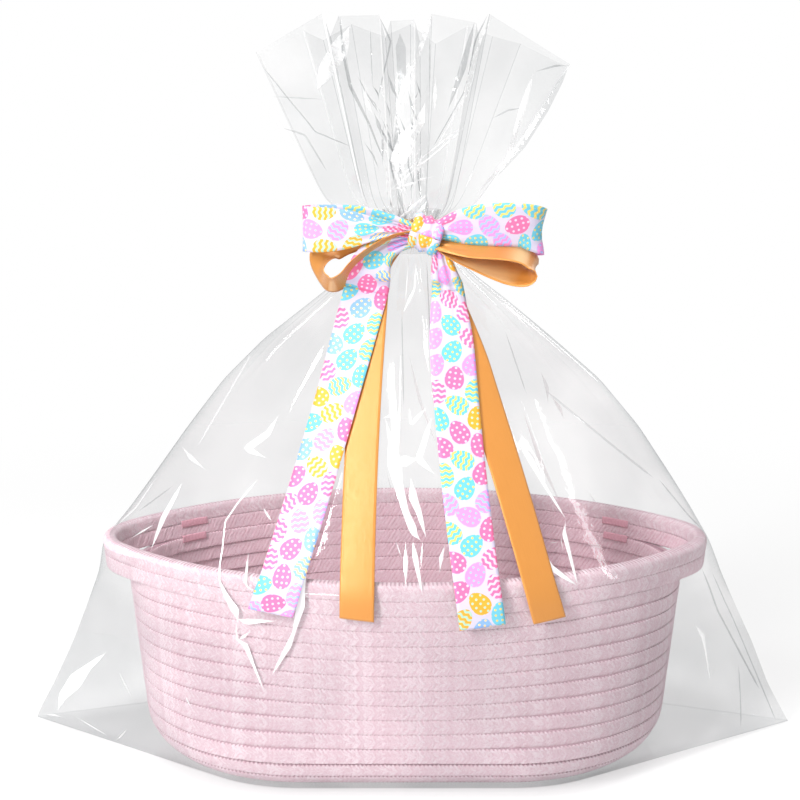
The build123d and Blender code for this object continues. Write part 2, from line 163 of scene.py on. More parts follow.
# on the front of the bag
FRONT_PAINTED_CREASES = [
    (1.0, [(-101, 132, 1.0), (-101, 122, 1.0), (-97, 114, 3.0), (-92, 106, 5.0), (-91, 100, 1.0)]),
    (1.0, [(-92, 102, 1.5), (-87, 101, 4.0), (-81, 102, 2.5), (-69, 104, 0.5)]),
    (1.0, [(-92, 100, 0.5), (-92, 90, 1.0), (-87, 87, 3.0), (-83, 77, 1.5), (-77, 62, 0.5)]),
    (0.8, [(-92, 89, 0.5), (-88, 92, 2.5), (-84, 96, 1.5)]),
    (0.8, [(-86, 134, 1.5), (-86, 122, 1.5), (-82, 120, 1.0)]),
    (1.0, [
        (-53, 137, 1.5), (-55, 124, 3.0), (-56, 114, 4.5), (-60, 98, 1.5), (-63, 90, 3.0), (-73, 71, 0.5),
    ]),
    (1.0, [(-55, 122, 1.0), (-51, 118, 0.5)]),
    (1.0, [(-81, 174, 0.8), (-92, 161, 0.8), (-99, 151, 0.8), (-100, 138, 0.8), (-102, 124, 0.8)]),
    (0.7, [(-126, 165, 1.5), (-137, 145, 3.0), (-143, 129, 0.5)]),
    (0.5, [(-144, 162, 0.5), (-156, 145, 0.7), (-171, 130, 0.5)]),
    (-0.4, [(-132, 162, 0.5), (-153, 145, 0.7)]),
    (0.7, [(-143, 141, 1.0), (-156, 132, 0.5)]),
    (0.8, [(-85, 138, 1.0), (-86, 123, 1.0)]),
    (0.8, [(-77, 160, 3.5), (-73, 155, 4.5)]),
    (1.0, [
        (-11, 209, 0.5), (-8, 198, 2.5), (-6, 187, 8.0), (-4, 177, 5.0), (0, 163, 3.5), (5, 152, 4.5),
        (8, 149, 1.0),
    ]),
    (0.9, [(14, 209, 2.5), (10, 197, 3.0), (7, 189, 3.5), (16, 181, 1.0)]),
    (0.9, [(2, 214, 3.0), (3, 206, 1.5), (11, 214, 3.0)]),
    (0.8, [(-12, 209, 2.5), (-4, 212, 2.5)]),
    (0.8, [(-8, 189, 3.0), (0, 188, 6.0), (7, 189, 3.5)]),
    (1.0, [(3, 179, 3.0), (4, 170, 4.5), (7, 163, 3.0), (11, 150, 1.0)]),
    (1.0, [(4, 148, 4.0), (5, 141, 3.0), (9, 122, 0.5)]),
    (0.9, [(9, 148, 1.5), (8, 135, 0.5)]),
    (0.8, [(-5, 148, 1.5), (-2, 140, 0.5)]),
    (0.9, [(0, 148, 1.0), (0, 138, 2.5), (0, 126, 0.5)]),
    (0.8, [(21, 147, 1.0), (19, 141, 2.5), (18, 133, 1.0)]),
    (1.0, [(61, 196, 1.0), (68, 186, 3.0), (76, 172, 1.5), (87, 155, 0.8)]),
    (1.0, [(87, 154, 0.5), (86, 148, 2.5), (93, 121, 0.8)]),
    (1.0, [(75, 140, 1.0), (78, 132, 3.0), (93, 121, 0.8)]),
    (0.8, [(84, 146, 1.0), (85, 140, 1.0)]),
    (0.7, [(78, 144, 1.0), (82, 144, 1.0)]),
    (0.75, [(-175, 59, 1.0), (-187, 47, 3.5), (-197, 35, 8.5), (-207, 22, 5.0), (-211, 11, 1.0)]),
    (0.7, [(-221, 5, 0.5), (-214, 7, 1.5), (-207, 8, 0.5)]),
    (0.7, [(-198, 12, 0.5), (-186, 9, 1.0), (-177, 6, 1.5)]),
    (0.5, [(-162, 17, 1.0), (-171, 4, 0.5)]),
    (0.5, [(-166, 51, 0.5), (-158, 39, 1.0)]),
    (0.9, [(-123, 53, 0.5), (-121, 49, 1.5), (-119, 46, 1.0)]),
    (0.7, [(167, 80, 0.5), (173, 71, 2.5), (175, 61, 1.0), (178, 44, 0.5)]),
    (0.4, [(182, 51, 0.5), (178, 44, 0.5)]),
    (-0.5, [(170, 113, 1.0), (184, 81, 1.0), (213, 28, 1.0)]),
    (-0.4, [(177, 109, 0.7), (194, 75, 0.7), (226, 4, 0.7)]),
    (-0.4, [(198, 47, 0.7), (201, 7, 0.7)]),
    (0.4, [(-87, 236, 0.7), (-118, 184, 0.7)]),
    (0.8, [(-70, 207, 0.5), (-76, 197, 3.0), (-88, 188, 3.5), (-76, 185, 0.5)]),
    (0.6, [(-128, 182, 0.5), (-122, 178, 2.5), (-112, 174, 0.5)]),
    (0.8, [(0, 294, 0.5), (2, 288, 1.0), (0, 269, 0.5)]),
    (0.8, [(6, 288, 1.0), (5, 274, 1.0), (-1, 263, 2.5)]),
    (-0.4, [(-2, 261, 0.7), (-1, 216, 0.7)]),
    (-0.4, [(12, 288, 0.7), (15, 216, 0.7)]),
    (-0.4, [(56, 250, 0.7), (67, 218, 0.7)]),
    (-0.3, [(78, 219, 1.0), (109, 193, 1.0), (141, 166, 1.0)]),
    (-0.4, [(145, 164, 0.7), (163, 142, 0.7), (172, 132, 0.7)]),
]

# bow: pivot and widths as in the CAD model
PIVOT_Z = 275.0
PRINTED_WIDTH = 25.0
SATIN_WIDTH = 18.5
RIBBON_THICKNESS = 0.35
SATIN = (SATIN_WIDTH, "ribbon_satin", "satin_ribbon")
PRINTED = (PRINTED_WIDTH, "ribbon_eggs", "printed_ribbon")
CLING_HEIGHT = 50.0
RING_STATIONS = 16
UPRIGHT = (0.0, 0.0, 1.0)
LEANING = (0.0, -0.25, 0.97)

# print: distance between rows of eggs, and the inks of the eggs and of their motifs
EGG_ROWS = 10.6
EGG_INKS = (
    [(0.0, (0.15, 0.53, 0.68, 1.0)), (0.28, (0.86, 0.17, 0.37, 1.0)), (0.52, (0.82, 0.40, 0.04, 1.0)),
     (0.68, (0.78, 0.30, 0.66, 1.0)), (0.86, (0.24, 0.43, 0.76, 1.0))],
    [(0.0, (0.80, 0.62, 0.16, 1.0)), (0.28, (0.90, 0.60, 0.76, 1.0)), (0.52, (0.42, 0.66, 0.52, 1.0)),
     (0.68, (0.38, 0.50, 0.86, 1.0)), (0.86, (0.90, 0.68, 0.30, 1.0))],
)

# stage
WHITE = (1.0, 1.0, 1.0, 1.0)
CAMERA_ELEVATION = math.radians(11.54)
CAMERA_LENS = 77.6
CAMERA_X = -0.003
CAMERA_AIM = 0.2056


# ------------------------------------------------------------------ settings

def colour_property(name, description, default):
    return bpy.props.FloatVectorProperty(
        name=name, description=description, subtype="COLOR", size=4, min=0.0, max=1.0, default=default
    )


def number_property(name, description, default, low, high, subtype="NONE"):
    return bpy.props.FloatProperty(
        name=name, description=description, default=default, min=low, max=high, subtype=subtype
    )


class RopeSettings(bpy.types.PropertyGroup):
    colour: colour_property("Rope", "Colour of the cotton on its crowns", (0.91, 0.665, 0.74, 1.0))
    # valley is a painted shade colour, laid between the strands where they dip
    valley: colour_property("Valleys", "Colour between the strands", (0.72, 0.36, 0.46, 1.0))
    # seam is a painted shade colour, laid in the holes along the seams
    seam: colour_property("Seams", "Colour in the holes along the seams", (0.38, 0.13, 0.20, 1.0))
    relief: number_property("Relief", "Height of the strands, in millimetres", 0.5, 0.0, 1.0)


class FilmSettings(bpy.types.PropertyGroup):
    haze: number_property("Haze", "Share of light the film scatters", 0.03, 0.0, 0.5, "FACTOR")
    veil: number_property("Veil", "Share of light the film holds back", 0.08, 0.0, 0.5, "FACTOR")
    gloss: number_property("Gloss", "Roughness of the film's reflections", 0.06, 0.0, 1.0, "FACTOR")


class RibbonSettings(bpy.types.PropertyGroup):
    satin: colour_property("Satin", "Colour of the satin ribbon", (0.60, 0.245, 0.042, 1.0))
    ground: colour_property("Ground", "Ground colour of the printed ribbon", (0.62, 0.57, 0.72, 1.0))
    egg: number_property(
        "Egg", "Distance between printed eggs along the ribbon, in millimetres", 15.5, 13.0, 25.0
    )


class StageSettings(bpy.types.PropertyGroup):
    ambient: number_property("Ambient", "Brightness of the light from all round", 0.335, 0.0, 2.0)
    key: number_property("Key", "Power of the main lamp", 36.5, 0.0, 200.0, "POWER")


# ------------------------------------------------------------------ meshes

def grid_object(name, points, closed_u=False, closed_v=False, uv=None, attributes=None, smooth=True):
    """A mesh over a grid of points (rows, columns, xyz) in millimetres, with its UV in millimetres."""
    rows, columns = points.shape[:2]
    i = np.arange(rows if closed_u else rows - 1)
    j = np.arange(columns if closed_v else columns - 1)
    ii, jj = np.meshgrid(i, j, indexing="ij")
    step = [(0, 0), (1, 0), (1, 1), (0, 1)]
    raw = np.stack([np.stack([ii + a, jj + b], -1) for a, b in step], 2).reshape(-1, 4, 2)
    index = (raw[..., 0] % rows) * columns + raw[..., 1] % columns
    mesh = bpy.data.meshes.new(name)
    mesh.vertices.add(rows * columns)
    mesh.vertices.foreach_set("co", (points * MM).astype(np.float32).ravel())
    mesh.loops.add(index.size)
    mesh.loops.foreach_set("vertex_index", index.astype(np.int32).ravel())
    mesh.polygons.add(len(index))
    mesh.polygons.foreach_set("loop_start", np.arange(0, index.size, 4, dtype=np.int32))
    mesh.polygons.foreach_set("use_smooth", np.full(len(index), smooth))
    mesh.update(calc_edges=True)
    if uv is not None:
        u, v = uv
        layer = mesh.uv_layers.new(name="UVMap")
        pairs = np.stack([u[raw[..., 0]], v[raw[..., 1]]], -1)
        layer.data.foreach_set("uv", (pairs * MM).astype(np.float32).ravel())
    for key, values in (attributes or {}).items():
        attribute = mesh.attributes.new(key, "FLOAT", "POINT")
        attribute.data.foreach_set("value", values.astype(np.float32).ravel())
    mesh.validate()
    obj = bpy.data.objects.new(name, mesh)
    bpy.context.scene.collection.objects.link(obj)
    return obj


def apply_modifier(obj, kind, **values):
    """Adds a modifier and applies it."""
    for other in bpy.context.selected_objects:
        other.select_set(False)
    bpy.context.view_layer.objects.active = obj
    obj.select_set(True)
    modifier = obj.modifiers.new(kind.title(), kind)
    for key, value in values.items():
        setattr(modifier, key, value)
    bpy.ops.object.modifier_apply(modifier=modifier.name)
    obj.select_set(False)


def give(obj, material, slot):
    obj.data.materials.clear()
    obj.data.materials.append(material)


# ------------------------------------------------------------------ material nodes

class Nodes:
    """A short way to write the node tree of a material or a world."""

    def __init__(self, owner, output="ShaderNodeOutputMaterial"):
        owner.use_nodes = True
        self.owner = owner
        self.tree = owner.node_tree
        self.tree.nodes.clear()
        self.output = self.add(output)

    def add(self, kind, inputs=None, **values):
        node = self.tree.nodes.new(kind)
        for key, value in values.items():
            setattr(node, key, value)
        for key, value in (inputs or {}).items():
            if isinstance(value, bpy.types.Node):
                value = value.outputs[0]
            if isinstance(value, bpy.types.NodeSocket):
                self.tree.links.new(value, node.inputs[key])
            else:
                node.inputs[key].default_value = value
        return node

    def math(self, operation, a, b=0.0, c=None, clamp=False):
        inputs = {0: a, 1: b}
        if c is not None:
            inputs[2] = c
        return self.add("ShaderNodeMath", inputs, operation=operation, use_clamp=clamp).outputs[0]

    def mix(self, factor, a, b):
        """From colour a to colour b."""
        node = self.add("ShaderNodeMix", {0: factor, 6: a, 7: b}, data_type="RGBA")
        return node.outputs[2]

    def blend(self, factor, a, b):
        """From number a to number b."""
        return self.add("ShaderNodeMix", {0: factor, 2: a, 3: b}, data_type="FLOAT").outputs[0]

    def place(self):
        """The piece's own coordinates in metres."""
        return self.add("ShaderNodeTexCoord").outputs["Object"]

    def uv(self):
        """The piece's own UV in millimetres."""
        source = self.add("ShaderNodeUVMap", uv_map="UVMap").outputs[0]
        return self.add("ShaderNodeVectorMath", {0: source, 3: 1 / MM}, operation="SCALE").outputs[0]

    def split(self, vector):
        node = self.add("ShaderNodeSeparateXYZ", {0: vector})
        return node.outputs[0], node.outputs[1]

    def join(self, x, y, z=0.0):
        return self.add("ShaderNodeCombineXYZ", {0: x, 1: y, 2: z}).outputs[0]

    def noise(self, vector, scale, detail=3.0, roughness=0.6):
        inputs = {"Vector": vector, "Scale": scale, "Detail": detail, "Roughness": roughness}
        return self.add("ShaderNodeTexNoise", inputs).outputs[0]

    def ramp(self, factor, low, high):
        """0 below low and 1 above high, smoothly."""
        inputs = {0: factor, 1: low, 2: high}
        return self.add("ShaderNodeMapRange", inputs, interpolation_type="SMOOTHSTEP").outputs[0]

    def bump(self, height, strength, distance):
        inputs = {"Height": height, "Strength": strength, "Distance": distance}
        return self.add("ShaderNodeBump", inputs).outputs[0]

    def surface(self, shader):
        self.tree.links.new(shader.outputs[0], self.output.inputs[0])
        return self.owner


def rope_material():
    """Soft braided cotton: pale leaning strands, painted shade in the rosy valleys between them, a stitched
    seam with painted shade in its holes, a pinker painted bounce light on the inside of the wall, and a fuzz
    of fibres.
    """
    s = bpy.context.scene.gift_basket_rope
    n = Nodes(bpy.data.materials.new("rope_cotton"))
    uv = n.uv()
    u, v = n.split(uv)
    signed = n.math("WRAP", v, -HALF_GIRTH, HALF_GIRTH)
    side = n.math("ABSOLUTE", signed)
    inner = n.math("LESS_THAN", n.math("ABSOLUTE", n.math("SUBTRACT", v, 2 * HALF_GIRTH)), HALF_GIRTH)
    slant = n.blend(inner, side, n.math("MULTIPLY", signed, -1.0))
    half_strand = n.math("MULTIPLY", inner, 0.5)
    phase = n.math("MULTIPLY_ADD", n.math("MULTIPLY_ADD", slant, LEAN, u), 1 / STRAND, half_strand)
    wobble = n.math("MULTIPLY_ADD", n.noise(uv, 0.33, 3.0), 1.5, phase)
    ridge = n.math("ABSOLUTE", n.math("SINE", n.math("MULTIPLY", wobble, math.pi)))
    own = n.add("ShaderNodeTexWhiteNoise", {"W": n.math("FLOOR", phase)}, noise_dimensions="1D").outputs[0]
    along = n.join(n.math("MULTIPLY", wobble, STRAND), n.math("MULTIPLY", v, 0.42))
    fibre = n.noise(along, 0.85, 5.0, 0.72)
    fuzz = n.noise(uv, 2.4, 4.0, 0.75)
    blotch = n.noise(n.place(), 26.0, 2.0)
    pale = n.mix(n.ramp(blotch, 0.3, 0.7), tuple(0.94 * c for c in s.colour[:3]) + (1.0,), tuple(s.colour))
    bright = n.math("MULTIPLY", n.ramp(n.math("MULTIPLY_ADD", own, 0.14, fibre), 0.52, 0.66), 0.9)
    colour = n.mix(bright, pale, (0.985, 0.82, 0.875, 1.0))
    # painted shade: the colour darkens to the valley colour between the strands, away from their ridges, more
    # so on the inside of the wall
    valley = n.ramp(n.math("MULTIPLY_ADD", fibre, 1.2, n.math("MULTIPLY", ridge, 0.42)), 0.88, 0.56)
    depth = n.math("MULTIPLY", valley, n.math("MULTIPLY_ADD", inner, 0.55, 0.22))
    colour = n.mix(depth, colour, tuple(s.valley))
    speck = n.ramp(n.noise(n.join(u, n.math("MULTIPLY", v, 0.7)), 0.85, 3.0, 0.8), 0.52, 0.68)
    colour = n.mix(n.math("MULTIPLY", speck, 0.42), colour, tuple(s.valley))
    # painted bounce light: the inside of the wall is tinted a pinker rose
    colour = n.mix(n.math("MULTIPLY", inner, 0.45), colour, (1.0, 0.64, 0.74, 1.0))
    # painted shade: the dark seam colour laid in the stitch holes along each seam, stronger on the inside of
    # the wall
    stitch = n.math("COSINE", n.math("MULTIPLY", n.math("MULTIPLY_ADD", side, 0.25, u), 2 * math.pi / STITCH))
    uneven = n.math("ADD", n.math("MULTIPLY", stitch, 0.40), n.math("MULTIPLY", fuzz, 0.5))
    reach = n.math("ADD", side, uneven)
    near = n.ramp(reach, CONTACT + 0.05, CONTACT + 0.45)
    holes = n.math("MULTIPLY", near, n.math("MULTIPLY_ADD", inner, 0.35, 0.55))
    colour = n.mix(holes, colour, tuple(s.seam))
    height = n.math("ADD", n.math("MULTIPLY", fibre, 1.3), n.math("MULTIPLY_ADD", ridge, 0.25, fuzz))
    shader = n.add(
        "ShaderNodeBsdfPrincipled",
        {
            "Base Color": colour, "Roughness": 0.95, "Specular IOR Level": 0.15,
            "Sheen Weight": 0.3, "Sheen Roughness": 0.6, "Sheen Tint": (1.0, 0.93, 0.96, 1.0),
            "Normal": n.bump(height, 0.9, 0.0008),
        },
    )
    return n.surface(shader)


def thread_material():
    """Rose sewing thread laid in close zigzags."""
    n = Nodes(bpy.data.materials.new("rope_thread"))
    u, v = n.split(n.uv())
    lean = n.math("MULTIPLY_ADD", n.math("PINGPONG", v, 2.0), 0.25, u)
    twist = n.math("MULTIPLY_ADD", n.math("SINE", n.math("MULTIPLY", lean, 2 * math.pi / 0.9)), 0.5, 0.5)
    # painted shade: the thread is darker in its twist's grooves and lighter on its crests, where the bump
    # rises
    colour = n.mix(twist, (0.76, 0.30, 0.40, 1.0), (0.90, 0.48, 0.58, 1.0))
    values = {"Base Color": colour, "Roughness": 0.6, "Normal": n.bump(twist, 0.6, 0.0004)}
    return n.surface(n.add("ShaderNodeBsdfPrincipled", values))


def film_material():
    """Clear crisp film: a faint grey veil, darker seen edge on; painted shade towards the bottom and along
    some marked creases, and painted highlights, part glow, on others.
    """
    s = bpy.context.scene.gift_basket_film
    n = Nodes(bpy.data.materials.new("film_clear"))
    place = n.place()
    glint_and_grey = n.add("ShaderNodeAttribute", attribute_name="glint_and_grey").outputs["Fac"]
    edge = n.math("POWER", n.add("ShaderNodeLayerWeight", {"Blend": 0.3}).outputs["Facing"], 2.6)
    cloud = n.ramp(n.noise(place, 14.0, 2.0, 0.45), 0.36, 0.62)
    # painted shade: the film holds back more light towards the bottom
    low = n.ramp(n.add("ShaderNodeSeparateXYZ", {0: place}).outputs[2], 0.15, 0.07)
    hold = n.math("MULTIPLY_ADD", cloud, s.veil, n.math("MULTIPLY", low, s.veil * 0.6))
    # painted shade: marked grey lines hold back more light
    dark = n.math("MULTIPLY", n.math("MULTIPLY", glint_and_grey, -1.0, clamp=True), 0.45)
    hold = n.math("ADD", n.math("MULTIPLY_ADD", edge, 0.45, hold), dark, clamp=True)
    tint = n.mix(hold, (0.985, 0.985, 0.985, 1.0), (0.03, 0.06, 0.08, 1.0))
    clear = n.add("ShaderNodeBsdfTransparent", {0: tint})
    grain = n.math("ADD", n.noise(place, 45.0, 3.0), n.math("MULTIPLY", n.noise(place, 9.0, 2.0), 1.5))
    gloss = n.add(
        "ShaderNodeBsdfGlossy",
        {"Color": WHITE, "Roughness": s.gloss, "Normal": n.bump(grain, 0.07, 0.004)},
    )
    # painted highlight: the haze and the marked glints go to a white that is a little over half emission
    # glow, the rest diffuse scatter
    painted_glow = n.add("ShaderNodeEmission", {"Color": WHITE, "Strength": 1.0})
    scatter = n.add("ShaderNodeBsdfDiffuse", {"Color": WHITE})
    white = n.add("ShaderNodeMixShader", {0: 0.55, 1: scatter, 2: painted_glow})
    haze = n.math("MULTIPLY_ADD", n.math("MULTIPLY", glint_and_grey, 1.0, clamp=True), 0.95, s.haze, clamp=True)
    mirror = n.math("MULTIPLY_ADD", edge, 0.30, 0.04, clamp=True)
    dusty = n.add("ShaderNodeMixShader", {0: haze, 1: clear, 2: white})
    return n.surface(n.add("ShaderNodeMixShader", {0: mirror, 1: dusty, 2: gloss}))


def satin_material():
    """Orange satin: fine warp lines and a soft sheen across the ribbon, painted in a lighter colour where the
    ribbon faces two fixed directions.
    """
    s = bpy.context.scene.gift_basket_ribbon
    n = Nodes(bpy.data.materials.new("ribbon_satin"))
    uv = n.uv()
    x, y = n.split(uv)
    warp = n.noise(n.join(n.math("MULTIPLY", x, 0.08), n.math("MULTIPLY", y, 7.0)), 1.0, 2.0)
    edge = n.ramp(n.math("ABSOLUTE", y), SATIN_WIDTH / 2 - 0.9, SATIN_WIDTH / 2 - 0.6)
    dark = (s.satin[0] * 0.90, s.satin[1] * 0.86, s.satin[2] * 0.8, 1.0)
    light = (min(1.0, s.satin[0] * 1.08), s.satin[1] * 1.10, s.satin[2] * 1.25, 1.0)
    colour = n.mix(edge, n.mix(warp, dark, light), light)
    # painted highlight: lighter colour where the normal faces one of two fixed directions, its strength set
    # by height: full on the loops and on the tails from about 178 to 195 mm up, weak over the upper tails,
    # where fold is 0, and below 140 mm
    level = n.add("ShaderNodeSeparateXYZ", {0: n.place()}).outputs["Z"]
    upper = n.math("MULTIPLY", n.ramp(level, 0.195, 0.225), n.ramp(level, 0.272, 0.262))
    fold = n.math("SUBTRACT", 1.0, upper)
    painted_shine = n.math("MULTIPLY_ADD", n.math("MULTIPLY", n.ramp(level, 0.140, 0.178), fold), 0.48, 0.08)
    facing = n.add("ShaderNodeNewGeometry").outputs["Normal"]
    for toward, start in (((0.34, -0.52, 0.78), 0.955), ((-0.12, -0.66, -0.74), 0.93)):
        along = n.add("ShaderNodeVectorMath", {0: facing, 1: toward}, operation="DOT_PRODUCT")
        painted_glint = n.math("MULTIPLY", n.ramp(along.outputs["Value"], start, 0.998), painted_shine)
        colour = n.mix(painted_glint, colour, (0.93, 0.66, 0.36, 1.0))
    height = n.math("ADD", warp, n.math("MULTIPLY", edge, 1.5))
    shader = n.add(
        "ShaderNodeBsdfPrincipled",
        {
            "Base Color": colour, "Metallic": 0.15, "Roughness": 0.34, "Specular IOR Level": 0.5,
            "Anisotropic": 0.75, "Sheen Weight": 0.1, "Normal": n.bump(height, 0.25, 0.0003),
            "Tangent": n.add("ShaderNodeTangent", direction_type="UV_MAP", uv_map="UVMap").outputs[0],
        },
    )
    return n.surface(shader)


def egg_cell(n, u, v, row):
    """One row of the staggered eggs: inside the egg or not, its own x and y, and its random numbers."""
    s = bpy.context.scene.gift_basket_ribbon
    shift = n.math("MULTIPLY", row, s.egg * 0.5)
    along = n.math("ADD", u, shift)
    column = n.math("FLOOR", n.math("DIVIDE", along, s.egg))
    x = n.math("SUBTRACT", along, n.math("MULTIPLY", n.math("ADD", column, 0.5), s.egg))
    y = n.math("SUBTRACT", v, n.math("MULTIPLY", row, EGG_ROWS))
    random = n.add("ShaderNodeTexWhiteNoise", {"Vector": n.join(column, row)}, noise_dimensions="2D")
    own = n.add("ShaderNodeSeparateColor", {0: random.outputs["Color"]})
    turn = n.math("MULTIPLY", n.math("SUBTRACT", own.outputs[0], 0.5), 2.4)
    turned = n.add("ShaderNodeVectorRotate", {"Vector": n.join(x, y), "Angle": turn}, rotation_type="Z_AXIS")
    spun = turned.outputs[0]
    x, y = n.split(spun)
    across = n.math("DIVIDE", y, n.math("MULTIPLY_ADD", x, 0.13, 5.3))
    along = n.math("DIVIDE", x, 6.9)
    reach = n.math("ADD", n.math("MULTIPLY", across, across), n.math("MULTIPLY", along, along))
    return n.ramp(reach, 1.05, 0.95), spun, own


def egg_ink(n, own, stops):
    """One of the inks, picked by the egg's own random number."""
    ramp = n.add("ShaderNodeValToRGB", {0: own.outputs[2]})
    ramp.color_ramp.interpolation = "CONSTANT"
    first, second = ramp.color_ramp.elements
    first.color = stops[0][1]
    second.position, second.color = stops[1]
    for position, shade in stops[2:]:
        ramp.color_ramp.elements.new(position).color = shade
    return ramp.outputs[0]


def egg_material():
    """Woven ribbon printed with small striped and dotted eggs in a staggered layout."""
    s = bpy.context.scene.gift_basket_ribbon
    n = Nodes(bpy.data.materials.new("ribbon_eggs"))
    uv = n.uv()
    u, v = n.split(uv)
    colour = tuple(s.ground)
    for k in (0, 1):
        row = n.math("ADD", n.math("FLOOR", n.math("DIVIDE", v, EGG_ROWS)), float(k))
        egg, spun, own = egg_cell(n, u, v, row)
        x, y = n.split(spun)
        wave = n.math("MULTIPLY_ADD", n.math("SINE", n.math("MULTIPLY", y, 1.7)), 0.45, x)
        stripe = n.ramp(n.math("SINE", n.math("MULTIPLY", wave, 2.0)), 0.05, 0.35)
        grid = {"Vector": spun, "Scale": 0.33, "Randomness": 0.15}
        dots = n.add("ShaderNodeTexVoronoi", grid, voronoi_dimensions="2D")
        dot = n.ramp(dots.outputs["Distance"], 0.26, 0.18)
        striped = n.math("GREATER_THAN", own.outputs[1], 0.5)
        motif = n.blend(striped, dot, stripe)
        colour = n.mix(egg, colour, n.mix(motif, *(egg_ink(n, own, stops) for stops in EGG_INKS)))
    threads = n.add("ShaderNodeVectorMath", {0: uv, 1: (3.0, 8.0, 1.0)}, operation="MULTIPLY")
    weave = n.noise(threads.outputs[0], 1.0)
    shader = n.add(
        "ShaderNodeBsdfPrincipled",
        {
            "Base Color": colour, "Roughness": 0.45, "Specular IOR Level": 0.25, "Anisotropic": 0.4,
            "Sheen Weight": 0.1, "Normal": n.bump(weave, 0.2, 0.0002),
            "Tangent": n.add("ShaderNodeTangent", direction_type="UV_MAP", uv_map="UVMap").outputs[0],
        },
    )
    return n.surface(shader)


def material(name):
    """One of the finishes, made when it is first wanted."""
    makers = {
        "rope_cotton": rope_material, "rope_thread": thread_material, "film_clear": film_material,
        "ribbon_satin": satin_material, "ribbon_eggs": egg_material,
    }
    return bpy.data.materials.get(name) or makers[name]()


# ------------------------------------------------------------------ coiled rope

def oval_path(half_length, half_width, end_radius, samples):
    """Even points round a four-arc oval, so many to a repeat, with their outward normals and the length."""
    centre, rise = half_length - end_radius, half_width - end_radius
    if rise > 1e-6:
        drop = (centre**2 - rise**2) / (2 * rise)
        joint = math.atan2(drop, centre)
        side_radius = half_width + drop
    else:
        joint = math.pi / 2
    ends = np.linspace(0.0, joint, 120)
    points = [np.stack([centre + end_radius * np.cos(ends), end_radius * np.sin(ends)], 1)]
    normals = [np.stack([np.cos(ends), np.sin(ends)], 1)]
    if rise > 1e-6:
        sides = np.linspace(joint, math.pi / 2, 80)[1:]
        points.append(np.stack([side_radius * np.cos(sides), side_radius * np.sin(sides) - drop], 1))
        normals.append(np.stack([np.cos(sides), np.sin(sides)], 1))
    else:
        points.append(np.array([[0.0, half_width]]))
        normals.append(np.array([[0.0, 1.0]]))
    quarter, facing = np.concatenate(points), np.concatenate(normals)
    flip_x, flip_y = np.array([-1, 1]), np.array([1, -1])
    loop, out = (
        np.concatenate([q, q[-2::-1] * flip_x, q[1:] * flip_x * flip_y, q[-2:0:-1] * flip_y, q[:1]])
        for q in (quarter, facing)
    )
    lengths = np.concatenate([[0], np.cumsum(np.linalg.norm(np.diff(loop, axis=0), axis=1))])
    count = samples * round(lengths[-1] / REPEAT)
    at = np.arange(count) * lengths[-1] / count
    place = np.stack([np.interp(at, lengths, loop[:, k]) for k in (0, 1)], 1)
    facing = np.stack([np.interp(at, lengths, out[:, k]) for k in (0, 1)], 1)
    return place, facing / np.linalg.norm(facing, axis=1, keepdims=True), lengths[-1]


def wander(at, length, rng, size):
    """A slow smooth unevenness round a closed turn."""
    total = np.zeros_like(at)
    for wave in (2, 3, 5, 9, 14, 23):
        total += np.cos(2 * math.pi * (wave * at / length + rng.random())) / math.sqrt(wave)
    return total * size / 2


def rope_section(crown, rim):
    """Round the pressed rope's section: its levels, its faces (1 out, -1 in) and its way round."""
    rising, falling, turn = np.array(crown), np.array(crown[::-1]), 2 * HALF_GIRTH
    half = len(crown)
    up = np.concatenate([rising, [CONTACT], falling, -rising[1:], [-CONTACT], -falling[:-1]])
    face = np.concatenate([np.ones(half), [0.0], -np.ones(2 * half - 1), [0.0], np.ones(half - 1)])
    if rim:
        girth = [rising, [RIM_TOP], falling, -rising[1:], [-HALF_GIRTH], falling[:-1] - turn, [-turn]]
    else:
        girth = [rising, [HALF_GIRTH], turn - falling, turn + rising[1:], [1.5 * turn]]
        girth += [2 * turn - falling[:-1], [2 * turn]]
    return up, face, np.concatenate(girth)


